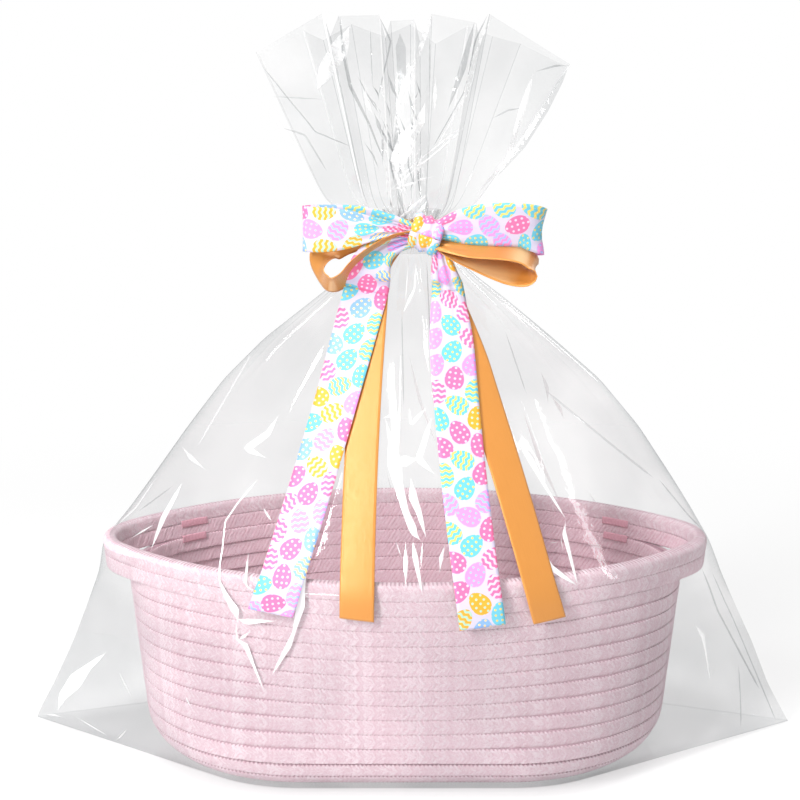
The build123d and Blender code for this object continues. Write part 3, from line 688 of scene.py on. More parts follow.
def rope_course(name, oval, height, tilt, seed, samples=36, crown=CROWN, rim=False):
    """One turn of the coil, pressed flat against its neighbours and pinched by its stitches."""
    s = bpy.context.scene.gift_basket_rope
    rng = np.random.default_rng(seed)
    place, facing, length = oval_path(*oval, samples)
    count = len(place)
    at = np.arange(count) * length / count
    u = np.arange(count) * REPEAT / samples
    up, face, girth = rope_section(crown, rim)
    v = np.abs(up)
    inner = (face < 0) & (not rim)
    phase = (u[:, None] + LEAN * np.where(inner, up, v)[None, :]) / STRAND + inner[None, :] * 0.5
    ridge = np.abs(np.sin(math.pi * phase)) ** 0.7
    uneven = rng.random(int(round(u[-1] / STRAND)) + 8)
    ridge = ridge * (0.62 + 0.70 * uneven[np.floor(phase).astype(int) % len(uneven)])
    pull = (0.5 + 0.5 * np.cos(2 * math.pi * (u / STITCH)))[:, None]
    pull = pull * (0.45 + 0.55 * rng.random(count))[:, None]
    power = np.where(rim & (up > 0)[None, :], 2.8, 14.0 - 9.6 * pull)
    flat = (1 - (v[None, :] / (CONTACT + 0.02)) ** power) ** (1 / power)
    relief = s.relief * np.clip((4.2 - v) / 1.4, 0, 1) * np.where(inner, 1.0, 0.15)
    out_size = 4.12 + relief[None, :] * (ridge - 0.6)
    out_reach = out_size * flat * face[None, :] + wander(at, length, rng, 0.10)[:, None]
    n_out, n_up = math.sin(tilt), -math.cos(tilt)
    t_out, t_up = math.cos(tilt), math.sin(tilt)
    outward = out_reach * n_out + up[None, :] * t_out + wander(at, length, rng, 0.10)[:, None]
    upward = out_reach * n_up + up[None, :] * t_up
    points = np.empty((count, len(up), 3))
    points[..., 0] = place[:, :1] + facing[:, :1] * outward
    points[..., 1] = place[:, 1:] + facing[:, 1:] * outward
    points[..., 2] = height + upward
    obj = grid_object(name, points, True, True, (np.append(u, count * REPEAT / samples), girth))
    give(obj, material("rope_cotton"), "rope")
    return obj


def wall_profile(course):
    """Half width, height and tilt of the rope's centre line, as in the CAD model."""
    base = PITCH * (FLOOR_TURNS + 0.5)
    along = course * PITCH
    arc = CORNER_RADIUS * (math.pi / 2 - FLARE)
    if along <= arc:
        turn = along / CORNER_RADIUS
        height = ROPE_FLOOR + CORNER_RADIUS * (1 - math.cos(turn))
        return base + CORNER_RADIUS * math.sin(turn), height, turn
    up = along - arc
    half_width = base + CORNER_RADIUS * math.cos(FLARE) + up * math.sin(FLARE)
    height = ROPE_FLOOR + CORNER_RADIUS * (1 - math.sin(FLARE)) + up * math.cos(FLARE)
    return half_width, height, math.pi / 2 - FLARE


def wall_end_radius(course, half_width):
    first = CORNER_RADIUS * (math.pi / 2 - FLARE) / PITCH
    blend = min(max((course - first) / (WALL_COURSES + 1 - first), 0.0), 1.0)
    return (1 - blend) * half_width + blend * RIM_END_RADIUS


class GIFTBASKET_OT_floor(bpy.types.Operator):
    """Coil the flat floor"""

    bl_idname = "gift_basket.floor"
    bl_label = "Rope Floor"

    def execute(self, context):
        for i in range(FLOOR_TURNS):
            half_width = PITCH * (i + 0.5)
            oval = (STRAIGHT_HALF + half_width, half_width, half_width)
            turn = rope_course(f"rope_floor_{i + 1}", oval, ROPE_FLOOR, 0.0, 100 + i, 24, CROWN[::2])
            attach(turn, ROOT)
            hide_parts(f"floor_turn_{i + 1}")
        return {"FINISHED"}


class GIFTBASKET_OT_wall(bpy.types.Operator):
    """Coil the wall and the two lug handles"""

    bl_idname = "gift_basket.wall"
    bl_label = "Rope Wall"

    def execute(self, context):
        for i in range(WALL_COURSES):
            half_width, height, tilt = wall_profile(i)
            oval = (STRAIGHT_HALF + half_width, half_width, wall_end_radius(i, half_width))
            course = rope_course(f"rope_wall_{i + 1:02d}", oval, height, tilt, 200 + i)
            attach(course, ROOT)
            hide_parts(f"wall_course_{i + 1:02d}")
        lower = [f"handle_lower_{side}" for side in ("left", "right", "front", "back")]
        for i, nodes in enumerate((lower, ["handle_course_upper"])):
            half_width, height, tilt = wall_profile(WALL_COURSES + i)
            oval = (STRAIGHT_HALF + half_width + HANDLE_REACH, half_width, HANDLE_END_RADIUS)
            course = rope_course(f"rope_handle_{i + 1}", oval, height, tilt, 300 + i, rim=i == 1)
            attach(course, ROOT)
            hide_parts(*nodes)
        return {"FINISHED"}


class GIFTBASKET_OT_tacks(bpy.types.Operator):
    """Sew the tacks at the handle roots"""

    bl_idname = "gift_basket.tacks"
    bl_label = "Handle Tacks"

    def execute(self, context):
        patches = []
        seams = ((WALL_COURSES - 0.5, None, 0.0), (WALL_COURSES + 0.5, HANDLE_END_RADIUS, HANDLE_REACH))
        for seam, radius, reach in seams:
            half_width, height, _ = wall_profile(seam)
            end_radius = radius or wall_end_radius(seam, half_width)
            place, facing, length = oval_path(STRAIGHT_HALF + half_width + reach, half_width, end_radius, 40)
            step = length / len(place)
            for side in (-1, 1):
                for face in (-1, 1):
                    away = np.abs(place[:, 0] - side * TACK_X) + 50 * (place[:, 1] * face < 0)
                    middle = int(np.argmin(away))
                    patches.append(tack_patch(place, facing, middle, int(TACK_LENGTH / 2 / step), height))
        join_all(patches[0], patches[1:])
        patches[0].name = "stitched_tacks"
        apply_modifier(patches[0], "SOLIDIFY", thickness=0.4 * MM, offset=0.0)
        give(patches[0], material("rope_thread"), "rope")
        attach(patches[0], ROOT)
        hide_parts("handle_tacks")
        return {"FINISHED"}


def tack_patch(place, facing, middle, reach, height):
    """Close zigzag stitches across a seam, on the inside of the wall."""
    rows = np.arange(middle - reach, middle + reach + 1) % len(place)
    zig = 0.22 * np.cos(np.arange(len(rows)) * math.pi)
    levels = np.array([-2.2, -1.5, -0.7, 0.0, 0.7, 1.5, 2.2])
    inside = 4.25 + 0.25 * (1 - (levels / 2.4) ** 2)
    points = np.empty((len(rows), len(levels), 3))
    for j, (level, depth) in enumerate(zip(levels, inside)):
        inward = depth + zig * (0.5, 1.0)[j % 2] - level * math.tan(FLARE)
        points[:, j, :2] = place[rows] - facing[rows] * inward[:, None]
        points[:, j, 2] = height + level
    return grid_object("tack", points, uv=(np.arange(len(rows)) * 0.7, levels))


# ------------------------------------------------------------------ film

def oval_depth(x, half_length, half_width, end_radius):
    """Half depth of a four-arc oval at each x."""
    x = np.minimum(np.abs(x), half_length)
    centre, rise = half_length - end_radius, half_width - end_radius
    end = np.sqrt(np.maximum(end_radius**2 - np.maximum(x - centre, 0.0) ** 2, 0.0))
    if rise < 1e-6:
        return end
    drop = (centre**2 - rise**2) / (2 * rise)
    side_radius = half_width + drop
    side = np.sqrt(np.maximum(side_radius**2 - x**2, 0.0)) - drop
    return np.where(x <= side_radius * centre / math.hypot(centre, drop), side, end)


def basket_outside(z, skin):
    """Plan, at this height, of the oval that stands off the rope's centre line by skin."""
    base = PITCH * (FLOOR_TURNS + 0.5)
    middle = ROPE_FLOOR + CORNER_RADIUS
    if z < middle:
        half_width = base + math.sqrt(max((CORNER_RADIUS + skin) ** 2 - (middle - z) ** 2, 0.0))
        course = 0.0
    else:
        up = (z - middle) / math.cos(FLARE)
        half_width = base + CORNER_RADIUS * math.cos(FLARE) + up * math.sin(FLARE) + skin
        course = (up + CORNER_RADIUS * (math.pi / 2 - FLARE)) / PITCH
    end_radius = wall_end_radius(course, half_width - skin) + skin
    return STRAIGHT_HALF + half_width, half_width, end_radius


def tangent_line(x, px, py, centre, radius, face):
    """Where a straight line from (px, py) touches the end circle, and its y at each x."""
    away = math.hypot(px - centre, py)
    turn = math.atan2(py, px - centre) + face * math.copysign(1.0, px) * math.acos(radius / away)
    touch_x, touch_y = centre + radius * math.cos(turn), radius * math.sin(turn)
    share = (x - touch_x) / (px - touch_x)
    return touch_x, touch_y + (py - touch_y) * share


def film_skin(z):
    """How far the film stands off the rope's centre line at this height."""
    return next(skin for top, skin in FILM_SKINS if z < top)


class FilmShape:
    """The bag drawn tight round the basket and tented over it, on a grid of columns across and rows up."""

    def __init__(self, columns, rows):
        self.u = np.linspace(-1, 1, columns)
        self.z = np.linspace(0.9, NECK_BOTTOM, rows)
        levels = []
        for z, left, left_y, right, right_y in SEAMS:
            half_length, half_width, end_radius = basket_outside(z, film_skin(z))
            x = 0.5 * (left + right) + 0.5 * (right - left) * np.sin(self.u * math.pi / 2)
            faces = []
            for face in (-1, 1):
                y = face * oval_depth(x, half_length, half_width, end_radius)
                for px, py in ((left, left_y), (right, right_y)):
                    centre = math.copysign(half_length - end_radius, px)
                    touch, line = tangent_line(x, px, py, centre, end_radius, face)
                    y = np.where(np.abs(x) * np.sign(x * px) >= abs(touch), line, y)
                faces.append(y)
            levels.append((z, x, *faces))
        for z, left, right, half_width, end_radius in TENT:
            half_length = 0.5 * (right - left)
            x = half_length * np.sin(self.u * math.pi / 2)
            depth = oval_depth(x, half_length, half_width, end_radius)
            levels.append((z, x + 0.5 * (left + right), -depth, depth))
        heights = [level[0] for level in levels]
        self.x, self.front, self.back = (
            self.fair(heights, np.array([level[k] for level in levels])) for k in (1, 2, 3)
        )

    def fair(self, levels, values):
        """Straight between the levels, then smoothed over height."""
        fine = np.stack([np.interp(self.z, levels, column) for column in values.T], 1)
        for _ in range(len(self.z) // 26):
            fine[1:-1] = fine[1:-1] * 0.5 + (fine[:-2] + fine[2:]) * 0.25
        return fine

    def at(self, x, z, grid=None):
        """Depth of the front, or of another grid of values, at points x, z."""
        grid = self.front if grid is None else grid
        x, z = np.broadcast_arrays(np.asarray(x, float), np.asarray(z, float))
        result = np.empty(x.shape)
        for k in np.ndindex(x.shape):
            row = min(max((z[k] - self.z[0]) / (self.z[1] - self.z[0]), 0), len(self.z) - 1.001)
            i = int(row)
            low = np.interp(x[k], self.x[i], grid[i])
            high = np.interp(x[k], self.x[i + 1], grid[i + 1])
            result[k] = low + (high - low) * (row - i)
        return result


def ridge(distance, width):
    """A sharp-crested fold."""
    return np.exp(-np.abs(distance) / width)


def film_folds(shape, rng, count):
    """Folds that run down from the neck and die out, each a sharp ridge of its own length."""
    u, z = np.meshgrid(shape.u, shape.z)
    total = np.zeros_like(u)
    for k in range(count):
        middle = -0.93 + 1.86 * (k + rng.uniform(0.2, 0.8)) / count
        foot = rng.choice([150, 185, 215, 240]) + rng.uniform(-15, 15)
        drift = rng.uniform(-0.10, 0.10)
        rise = np.clip((z - foot) / (NECK_BOTTOM - foot), 0, 1)
        swell = np.sin(np.clip(rise * 1.25, 0, 1) * math.pi * 0.62) ** 1.4
        strength = swell * rng.uniform(1.2, 3.4)
        line = middle + drift * (1 - rise)
        total += strength * ridge(u - line, 0.018 + 0.030 * rise) * rng.choice([1, 1, -0.6])
    return total


def crease_object(points, value):
    # the value is the crease's painted highlight (above 0) or painted grey shade (below 0)
    strength = {"glint_and_grey": np.full(points.shape[:2], value)}
    return grid_object("glint_and_grey", points, attributes=strength, smooth=False)


def crease_strips(lines, place):
    """Sharp ridges folded into the film, each with its painted highlight (above 0) or painted grey shade
    (below 0): each line is (x, z, width) stations, laid by place(x, z).
    """
    objects = []
    for value, stations in lines:
        knots = np.array([(x, 0.0, z, width) for x, z, width in stations], float)
        far = np.concatenate([[0.0], np.cumsum(np.hypot(*np.diff(knots[:, [0, 2]], axis=0).T))])
        at = np.linspace(0, far[-1], max(int(far[-1] / CREASE_STEP), 4))
        rows = np.stack([np.interp(at, far, knots[:, k]) for k in range(4)], 1)
        rows[:, 3] *= np.clip(np.minimum(at, at[-1] - at) / CREASE_TAPER, 0.08, 1)
        along = np.gradient(rows[:, [0, 2]], axis=0)
        along /= np.maximum(np.linalg.norm(along, axis=1, keepdims=True), 1e-9)
        normal = np.stack([-along[:, 1], along[:, 0]], 1)
        points = np.empty((len(rows), 3, 3))
        for j, side in enumerate((-0.5, 0.0, 0.5)):
            x = rows[:, 0] + normal[:, 0] * side * rows[:, 3]
            z = rows[:, 2] + normal[:, 1] * side * rows[:, 3]
            points[:, j] = place(x, z, CREASE_LIFT + (CREASE_PEAK * rows[:, 3] if side == 0.0 else 0.0))
        objects.append(crease_object(points, value))
    return objects


def join_all(target, others):
    """Joins the others into the target's mesh."""
    for obj in bpy.context.selected_objects:
        obj.select_set(False)
    for obj in [target, *others]:
        obj.select_set(True)
    bpy.context.view_layer.objects.active = target
    bpy.ops.object.join()
    target.select_set(False)


def film_side(name, face, seed, columns=300, rows=240):
    """The front or back of the bag, from its floor to the neck."""
    rng = np.random.default_rng(seed)
    shape = FilmShape(columns, rows)
    u, z = np.meshgrid(shape.u, shape.z)
    hem = np.clip(1 - np.abs(u), 0, 0.08) / 0.08
    bulge = film_folds(shape, rng, 17) * hem
    for _ in range(16):
        cu, cz = rng.uniform(-0.85, 0.85), rng.uniform(15, 200)
        turn = rng.uniform(-0.5, 0.5)
        du, dz = (u - cu) * 200, z - cz
        along = dz * math.cos(turn) + du * math.sin(turn)
        across = -dz * math.sin(turn) + du * math.cos(turn)
        slack = ridge(across, rng.uniform(3, 8)) * np.exp(-(along / rng.uniform(20, 45)) ** 2)
        bulge = bulge + rng.uniform(0.3, 0.9) * slack * hem
    x = shape.x + bulge * 0.25 * np.sin(u * math.pi / 2)
    base = shape.front if face < 0 else shape.back
    y = base + face * bulge * np.cos(u * math.pi / 2) ** 0.5
    points = np.stack([x, y, z], -1)
    lines = FRONT_PAINTED_CREASES if face < 0 else loose_glint_creases(rng)

    def lay(x, z, proud):
        return np.stack([x, shape.at(x, z, y) + face * proud, z], -1)

    hems = np.zeros(points.shape[:2])
    hems[0] = HEM_GREY
    hems[:, :2] = hems[:, -2:] = SEAM_GREY
    obj = grid_object(name, points if face > 0 else points[:, ::-1], attributes={"glint_and_grey": hems})
    join_all(obj, crease_strips(lines, lay))
    give(obj, material("film_clear"), "film")
    return obj


def loose_glint_creases(rng):
    """Creases with painted highlights scattered over the back, along the pull of the film from the neck."""
    lines = []
    for _ in range(18):
        x, z = rng.uniform(-130, 130), rng.uniform(25, 210)
        size = rng.uniform(8, 34)
        lean = 0.35 * x / 130 + rng.uniform(-0.3, 0.3)
        width = rng.uniform(0.6, 3.0)
        limit = 160 - 0.45 * max(z - 110, 0)
        if abs(x) < limit * 0.8:
            lines.append((rng.uniform(0.35, 0.9), [
                (x - lean * size, z + size, 0.2), (x + rng.uniform(-2, 2), z, width),
                (x + lean * size, z - size, 0.2),
            ]))
    return lines


def crumples(rng):
    """Short creases where the film is squeezed together above the tie, each with painted grey shade or a
    painted silvery highlight.
    """
    lines = []
    for _ in range(64):
        z = rng.uniform(312, 388)
        x = NECK_X + rng.choice([-22, -14, -6, 3]) * (0.35 + 0.65 * (z - 312) / 76) + rng.normal(0, 4)
        size = rng.uniform(3, 13)
        lean = 0.35 * (x - NECK_X) / 20 + rng.uniform(-0.35, 0.35)
        bend = rng.uniform(-1.5, 1.5)
        lines.append((rng.choice([-0.8, -0.6, -0.5, -0.4, 0.35, 0.6, 0.9]), [
            (x + lean * size, z + size, 0.4), (x + bend, z, rng.uniform(0.7, 2.4)),
            (x - lean * size, z - size, 0.4),
        ]))
    return lines


def film_fan(name, folds, lines):
    """Pleated film above the neck: straight panels between folds that open from the neck, with painted grey
    shade along most folds and a painted highlight along every third.
    """
    rows, between = 26, 4
    facing = math.copysign(1.0, sum(f[1] for f in folds))
    foot_ring = []
    for k in range(len(folds)):
        turn = math.pi * k / (len(folds) - 1)
        wave = 2.5 * (k % 2)
        foot_ring.append((NECK_X - (13.5 - wave) * math.cos(turn), facing * (11.5 - wave) * math.sin(turn)))
    spots = np.linspace(0, len(folds) - 1, (len(folds) - 1) * between + 1)
    foot = np.stack([np.interp(spots, np.arange(len(folds)), [p[k] for p in foot_ring]) for k in (0, 1)], 1)
    top = np.stack([np.interp(spots, np.arange(len(folds)), [p[k] for p in folds]) for k in (0, 1, 2)], 1)
    t = np.linspace(0, 1, rows)[:, None] ** 1.25
    height = NECK_TOP - 8
    burst = np.interp(top[:, 0], [-82.0, 92.0], [0.42, 0.24])[None, :]
    opening = burst * (1 - np.exp(-t / 0.045)) + (1 - burst) * t
    points = np.empty((rows, len(spots), 3))
    points[..., 0] = foot[:, 0] + (top[:, 0] - foot[:, 0]) * opening
    points[..., 1] = foot[:, 1] + (top[:, 1] - foot[:, 1]) * opening
    points[..., 2] = height + (top[:, 2] - height) * t
    obj = grid_object(name, points, attributes={"glint_and_grey": np.zeros(points.shape[:2])}, smooth=False)
    strips = []
    for k in range(len(folds)):
        line = points[:, k * between]
        beside = points[:, min(k * between + 1, len(spots) - 1)] - points[:, max(k * between - 1, 0)]
        beside /= np.maximum(np.linalg.norm(beside, axis=1, keepdims=True), 1e-9)
        out = np.array([0.0, facing * 0.35, 0.0])
        width = (0.35, 0.9)[k % 3 == 1]
        strip = np.stack([line - beside * width / 2 + out, line + beside * width / 2 + out], 1)
        # painted grey shade along most folds, a painted highlight along every third
        value = (-0.45, 0.7)[k % 3 == 1]
        strips.append(crease_object(strip, value))

    def lay(x, z, proud):
        near = (x[:, None, None] - points[..., 0]) ** 2 + (z[:, None, None] - points[..., 2]) ** 2
        weight = 1 / (near + 0.5) ** 2
        y = (weight * points[..., 1]).sum((1, 2)) / weight.sum((1, 2))
        return np.stack([x, y + facing * (0.8 + proud), z], -1)

    join_all(obj, strips + crease_strips(lines, lay))
    give(obj, material("film_clear"), "film")
    return obj


def film_neck():
    """The gathered neck: film in narrow flutes, drawn in by the tie, with painted highlights on the outer
    flutes and painted grey shade between them.
    """
    rng = np.random.default_rng(31)
    turn = np.linspace(0, 2 * math.pi, 240, endpoint=False)
    z = np.linspace(292.0, 316.0, 24)
    flute = np.zeros_like(turn)
    for wave, size in ((11, 1.0), (17, 0.8), (23, 0.6), (31, 0.4)):
        flute += size * np.abs(np.sin(0.5 * wave * turn + rng.uniform(0, 6)))
    flute -= flute.mean()
    waist = 1 - 0.18 * np.exp(-(((z - WAIST_Z) / 9.0) ** 2))
    half_x, half_y = 17.0 * waist, 13.5 * waist
    twist = 0.02 * (z - WAIST_Z)
    angle = turn[None, :] + twist[:, None]
    points = np.empty((len(z), len(turn), 3))
    points[..., 0] = 3.5 + (half_x[:, None] + flute[None, :]) * np.cos(angle)
    points[..., 1] = (half_y[:, None] + flute[None, :]) * np.sin(angle)
    points[..., 2] = z[:, None]
    # painted highlight on the outer flutes, painted grey shade between them
    painted_shine = np.broadcast_to(0.8 * np.clip(flute / flute.max(), 0, 1) ** 2 - 0.12, points.shape[:2])
    obj = grid_object("film_neck", points, False, True, attributes={"glint_and_grey": painted_shine})
    give(obj, material("film_clear"), "film")
    return obj


def film_floor(shape):
    """The sheet under the basket, lifted slightly outside its foot."""
    rows = 16
    t = np.linspace(0, 1, rows)[:, None]
    points = np.empty((rows, len(shape.u), 3))
    points[..., 0] = shape.x[0]
    points[..., 1] = shape.front[0] + (shape.back[0] - shape.front[0]) * t
    points[..., 2] = 0.35 + 0.55 * np.clip((np.abs(points[..., 0]) - 125) / 40, 0, 1)
    obj = grid_object("film_floor", points[::-1], attributes={"glint_and_grey": np.zeros(points.shape[:2])})
    give(obj, material("film_clear"), "film")
    return obj


class GIFTBASKET_OT_bag(bpy.types.Operator):
    """Wrap the film bag round the basket"""

    bl_idname = "gift_basket.bag"
    bl_label = "Film Bag"

    def execute(self, context):
        for side, face, seed in (("front", -1, 11), ("back", 1, 12)):
            sheet = film_side(f"film_{side}", face, seed)
            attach(sheet, ROOT)
            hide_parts(f"bag_skirt_{side}", f"bag_tent_{side}")
        floor = film_floor(FilmShape(FILM_COLUMNS, 60))
        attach(floor, ROOT)
        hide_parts("bag_floor")
        return {"FINISHED"}


class GIFTBASKET_OT_fan(bpy.types.Operator):
    """Gather the neck and open the fan of film above it"""

    bl_idname = "gift_basket.fan"
    bl_label = "Film Fan"

    def execute(self, context):
        front = [
            (-83, -2, 403.5), (-44.5, -32, 424), (-41, -18, 412), (-36, -32, 422.5), (-14, -30, 423),
            (-11, -16, 411), (-8, -26, 420), (5, -30, 420.5), (8, -15, 409), (14, -35, 423.5),
            (38, -30, 419), (41, -16, 407), (45, -33, 423.5), (92, -3, 396.5),
        ]
        back = [
            (-82, 2, 402), (-58, 28, 415), (-46, 8, 410), (-31, 38, 419), (-12, 12, 412), (3, 38, 419),
            (17, 10, 408), (36, 38, 418), (49, 9, 412), (66, 28, 408), (91, 3, 395),
        ]
        loose = crumples(np.random.default_rng(21))
        for side, folds, lines in (("front", front, FAN_PAINTED_CREASES + loose), ("back", back, [])):
            sheet = film_fan(f"film_fan_{side}", folds, lines)
            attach(sheet, ROOT)
            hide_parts(f"bag_fan_{side}")
        neck = film_neck()
        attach(neck, ROOT)
        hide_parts("bag_neck")
        return {"FINISHED"}


# ------------------------------------------------------------------ ribbons

def smooth_path(points, step=1.5):
    """Points every step along a Catmull-Rom curve through the given rows of numbers."""
    p = np.array(points, float)
    p = np.vstack([2 * p[0] - p[1], p, 2 * p[-1] - p[-2]])
    fine = []
    for i in range(1, len(p) - 2):
        t = np.linspace(0, 1, 24, endpoint=False)[:, None]
        a, b, c, d = p[i - 1], p[i], p[i + 1], p[i + 2]
        square, cube = 2 * a - 5 * b + 4 * c - d, 3 * b - a - 3 * c + d
        fine.append(0.5 * (2 * b + (c - a) * t + square * t**2 + cube * t**3))
    fine = np.vstack(fine + [p[-2:-1]])
    lengths = np.concatenate([[0], np.cumsum(np.linalg.norm(np.diff(fine[:, :3], axis=0), axis=1))])
    at = np.linspace(0, lengths[-1], max(int(lengths[-1] / step), 4) + 1)
    return np.stack([np.interp(at, lengths, fine[:, k]) for k in range(fine.shape[1])], 1), at


def ribbon_grid(stations, width, columns=13, pleat=0.0, skew=0.0):
    """Points of a ribbon through stations of centre, width direction and share of full width."""
    rows, at = smooth_path(stations)
    centre, across, share = rows[:, :3], rows[:, 3:6], rows[:, 6]
    along = np.gradient(centre, axis=0)
    along /= np.linalg.norm(along, axis=1, keepdims=True)
    across = across - along * (across * along).sum(1, keepdims=True)
    across /= np.linalg.norm(across, axis=1, keepdims=True)
    normal = np.cross(along, across)
    v = np.linspace(-0.5, 0.5, columns)
    spread = v[None, :] * width * share[:, None]
    gathered = (1 - share)[:, None] * pleat * np.cos(v * math.pi * 6)[None, :]
    bow = 0.25 * (1 - (2 * v[None, :]) ** 2)
    points = centre[:, None] + across[:, None] * spread[..., None]
    points = points + normal[:, None] * (gathered + bow)[..., None]
    end = np.clip((at - at[-1] + 20.0) / 20.0, 0, 1)
    points = points + along[:, None] * (end[:, None] * v[None, :] * width * skew)[..., None]
    return points, at


def ribbon_piece(name, points, at, width, finish, slot):
    v = np.linspace(-0.5, 0.5, points.shape[1])
    obj = grid_object(name, points, uv=(at, v * width))
    apply_modifier(obj, "SOLIDIFY", thickness=RIBBON_THICKNESS * MM, offset=0.0)
    give(obj, material(finish), slot)
    return obj


def ribbon(name, stations, width, finish, slot, start=0.0, **shape):
    points, at = ribbon_grid(stations, width, **shape)
    return ribbon_piece(name, points, start + at, width, finish, slot)


def hanging_stations(shape, middle, z_top, z_bottom, width, lift, steps=14):
    """Stations of a tail that leaves the bow flat to the front and takes the bag's curve further down."""
    stations = []
    for z in np.linspace(z_top, z_bottom, steps):
        x = middle(z)
        left, mid, right = -shape.at([x - width / 2, x, x + width / 2], [z] * 3)
        cling = min(max((PIVOT_Z - z) / CLING_HEIGHT, 0.0), 1.0)
        front = max(left, mid, right)
        y = -(front + (mid - front) * cling) - lift
        slope = (left - right) * cling / width
        stations.append((x, y, z, 1.0, slope, 0.0, 1.0))
    return stations


def ring_stations(station):
    """Stations once round a closed band, each worked out from its turn."""
    return [station(2 * math.pi * k / RING_STATIONS) for k in range(RING_STATIONS + 1)]


def tie_station(turn):
    """The band round the neck, drawn forward at the front to meet the knot."""
    forward = max(-math.cos(turn), 0.0) ** 3
    x = 4 + (17.0 - 3.0 * forward) * math.sin(turn) + 5.0 * forward
    return x, (13.6 + 5.4 * forward) * math.cos(turn), 303.0, 0.0, 0.0, 1.0, 0.66


def knot_station(turn):
    """The band wound over the middle of the bow."""
    x, y, z = 11 - 3.0 * math.sin(turn), -28.0 - 9.5 * math.cos(turn), 305.0 - 9.0 * math.sin(turn)
    return x, y, z, 0.94, -0.12, -0.34, 0.66 + 0.05 * math.cos(turn)


def growing(stations, shares):
    """The same stations, the first ones gathered to these shares and the others at full width."""
    return [(*row[:6], share) for row, share in zip(stations, shares + (1.0,) * len(stations))]


def tail_line(top_x, bottom_x, bottom_z, sway=0.0):
    def middle(z):
        share = (PIVOT_Z - z) / (PIVOT_Z - bottom_z)
        return top_x + (bottom_x - top_x) * share + sway * math.sin(math.pi * min(max(share, 0), 1))

    return middle


class GIFTBASKET_OT_satin(bpy.types.Operator):
    """Tie the satin ribbon"""

    bl_idname = "gift_basket.satin"
    bl_label = "Satin Ribbon"

    def execute(self, context):
        shape = FilmShape(FILM_COLUMNS, 160)
        left = [
            (5, -26, 302.4, 0.0, 0.2, 0.98, 0.45), (-12, -23, 302.9, 0.0, 0.1, 0.99, 0.7),
            (-27, -22, 303.9, -0.3, 0.05, 0.95, 1.0), (-38, -22, 299.9, -0.5, 0.15, 0.85, 1.0),
            (-45, -24, 293.4, -0.55, 0.6, 0.55, 1.0), (-46.5, -29, 284.9, -0.3, 0.95, 0.05, 1.0),
            (-44.5, -33, 279.4, -0.12, 0.85, -0.5, 1.0), (-39.5, -34.5, 277.9, 0.0, 0.83, -0.56, 1.0),
            (-33.5, -35.5, 281.4, 0.2, 0.87, -0.44, 1.0), (-27, -35, 288.9, 0.3, 0.9, -0.32, 1.0),
            (-17, -34, 296.9, 0.3, 0.9, -0.33, 0.9), (-6, -33, 302.9, 0.2, 0.85, -0.45, 0.7),
            (5, -31, 305.4, 0.1, 0.8, -0.5, 0.45),
        ]
        right = [
            (15, -32, 300.9, 0.0, 0.88, 0.46, 0.45), (24, -35, 299.4, 0.0, 0.88, 0.46, 0.75),
            (36, -36, 297.9, 0.0, 0.88, 0.46, 1.0), (52, -36.5, 296.9, 0.0, 0.88, 0.46, 1.0),
            (63, -36.5, 294.9, 0.05, 0.88, 0.46, 1.0), (69.5, -36.5, 290.9, 0.15, 0.86, 0.46, 1.0),
            (71, -36.5, 286.4, 0.2, 0.85, 0.48, 1.0), (66.5, -36.5, 283.4, 0.1, 0.8, 0.58, 1.0),
            (58, -36.5, 284.4, 0.0, 0.75, 0.66, 1.0), (48, -36, 287.9, 0.0, 0.75, 0.66, 1.0),
            (36, -35, 292.9, 0.0, 0.77, 0.64, 0.95), (26, -33, 296.4, 0.0, 0.8, 0.6, 0.75),
            (17, -30, 299.4, 0.0, 0.85, 0.5, 0.45),
        ]
        for side, stations in (("left", left), ("right", right)):
            loop = ribbon(f"satin_bow_{side}", stations, *SATIN, pleat=1.2)
            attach(loop, ROOT)
            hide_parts(f"satin_loop_{side}")
        tails = {"left": (-18.5, -26.0, 108.0, -3.0, 0.06), "right": (24.0, 77.5, 104.0, 16.0, 0.18)}
        for side, (top_x, bottom_x, bottom_z, knot_x, skew) in tails.items():
            middle = tail_line(top_x, bottom_x, bottom_z, -1.5 if side == "left" else 1.5)
            hanging = hanging_stations(shape, middle, PIVOT_Z, bottom_z, SATIN_WIDTH, 1.6)
            if side == "right":
                hanging = growing(hanging, (0.6, 0.75, 0.9))
            root = [
                (knot_x, -21.0, 300.0, 1.0, 0.0, 0.0, 0.38),
                (0.4 * knot_x + 0.6 * top_x, -26.0, 288.0, 1.0, 0.0, 0.0, 0.5),
            ]
            tail = ribbon(f"satin_end_{side}", root + hanging, *SATIN, pleat=1.6, skew=skew)
            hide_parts(f"satin_root_{side}", f"satin_tail_{side}")
            above, below = (top_x * MM, -0.028, 0.281), (top_x * MM, -0.028, 0.269)
            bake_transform(tail)
            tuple(above)
            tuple(below)
        tie = ribbon("satin_tie", ring_stations(tie_station), *SATIN, pleat=1.6)
        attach(tie, ROOT)
        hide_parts("neck_tie")
        return {"FINISHED"}


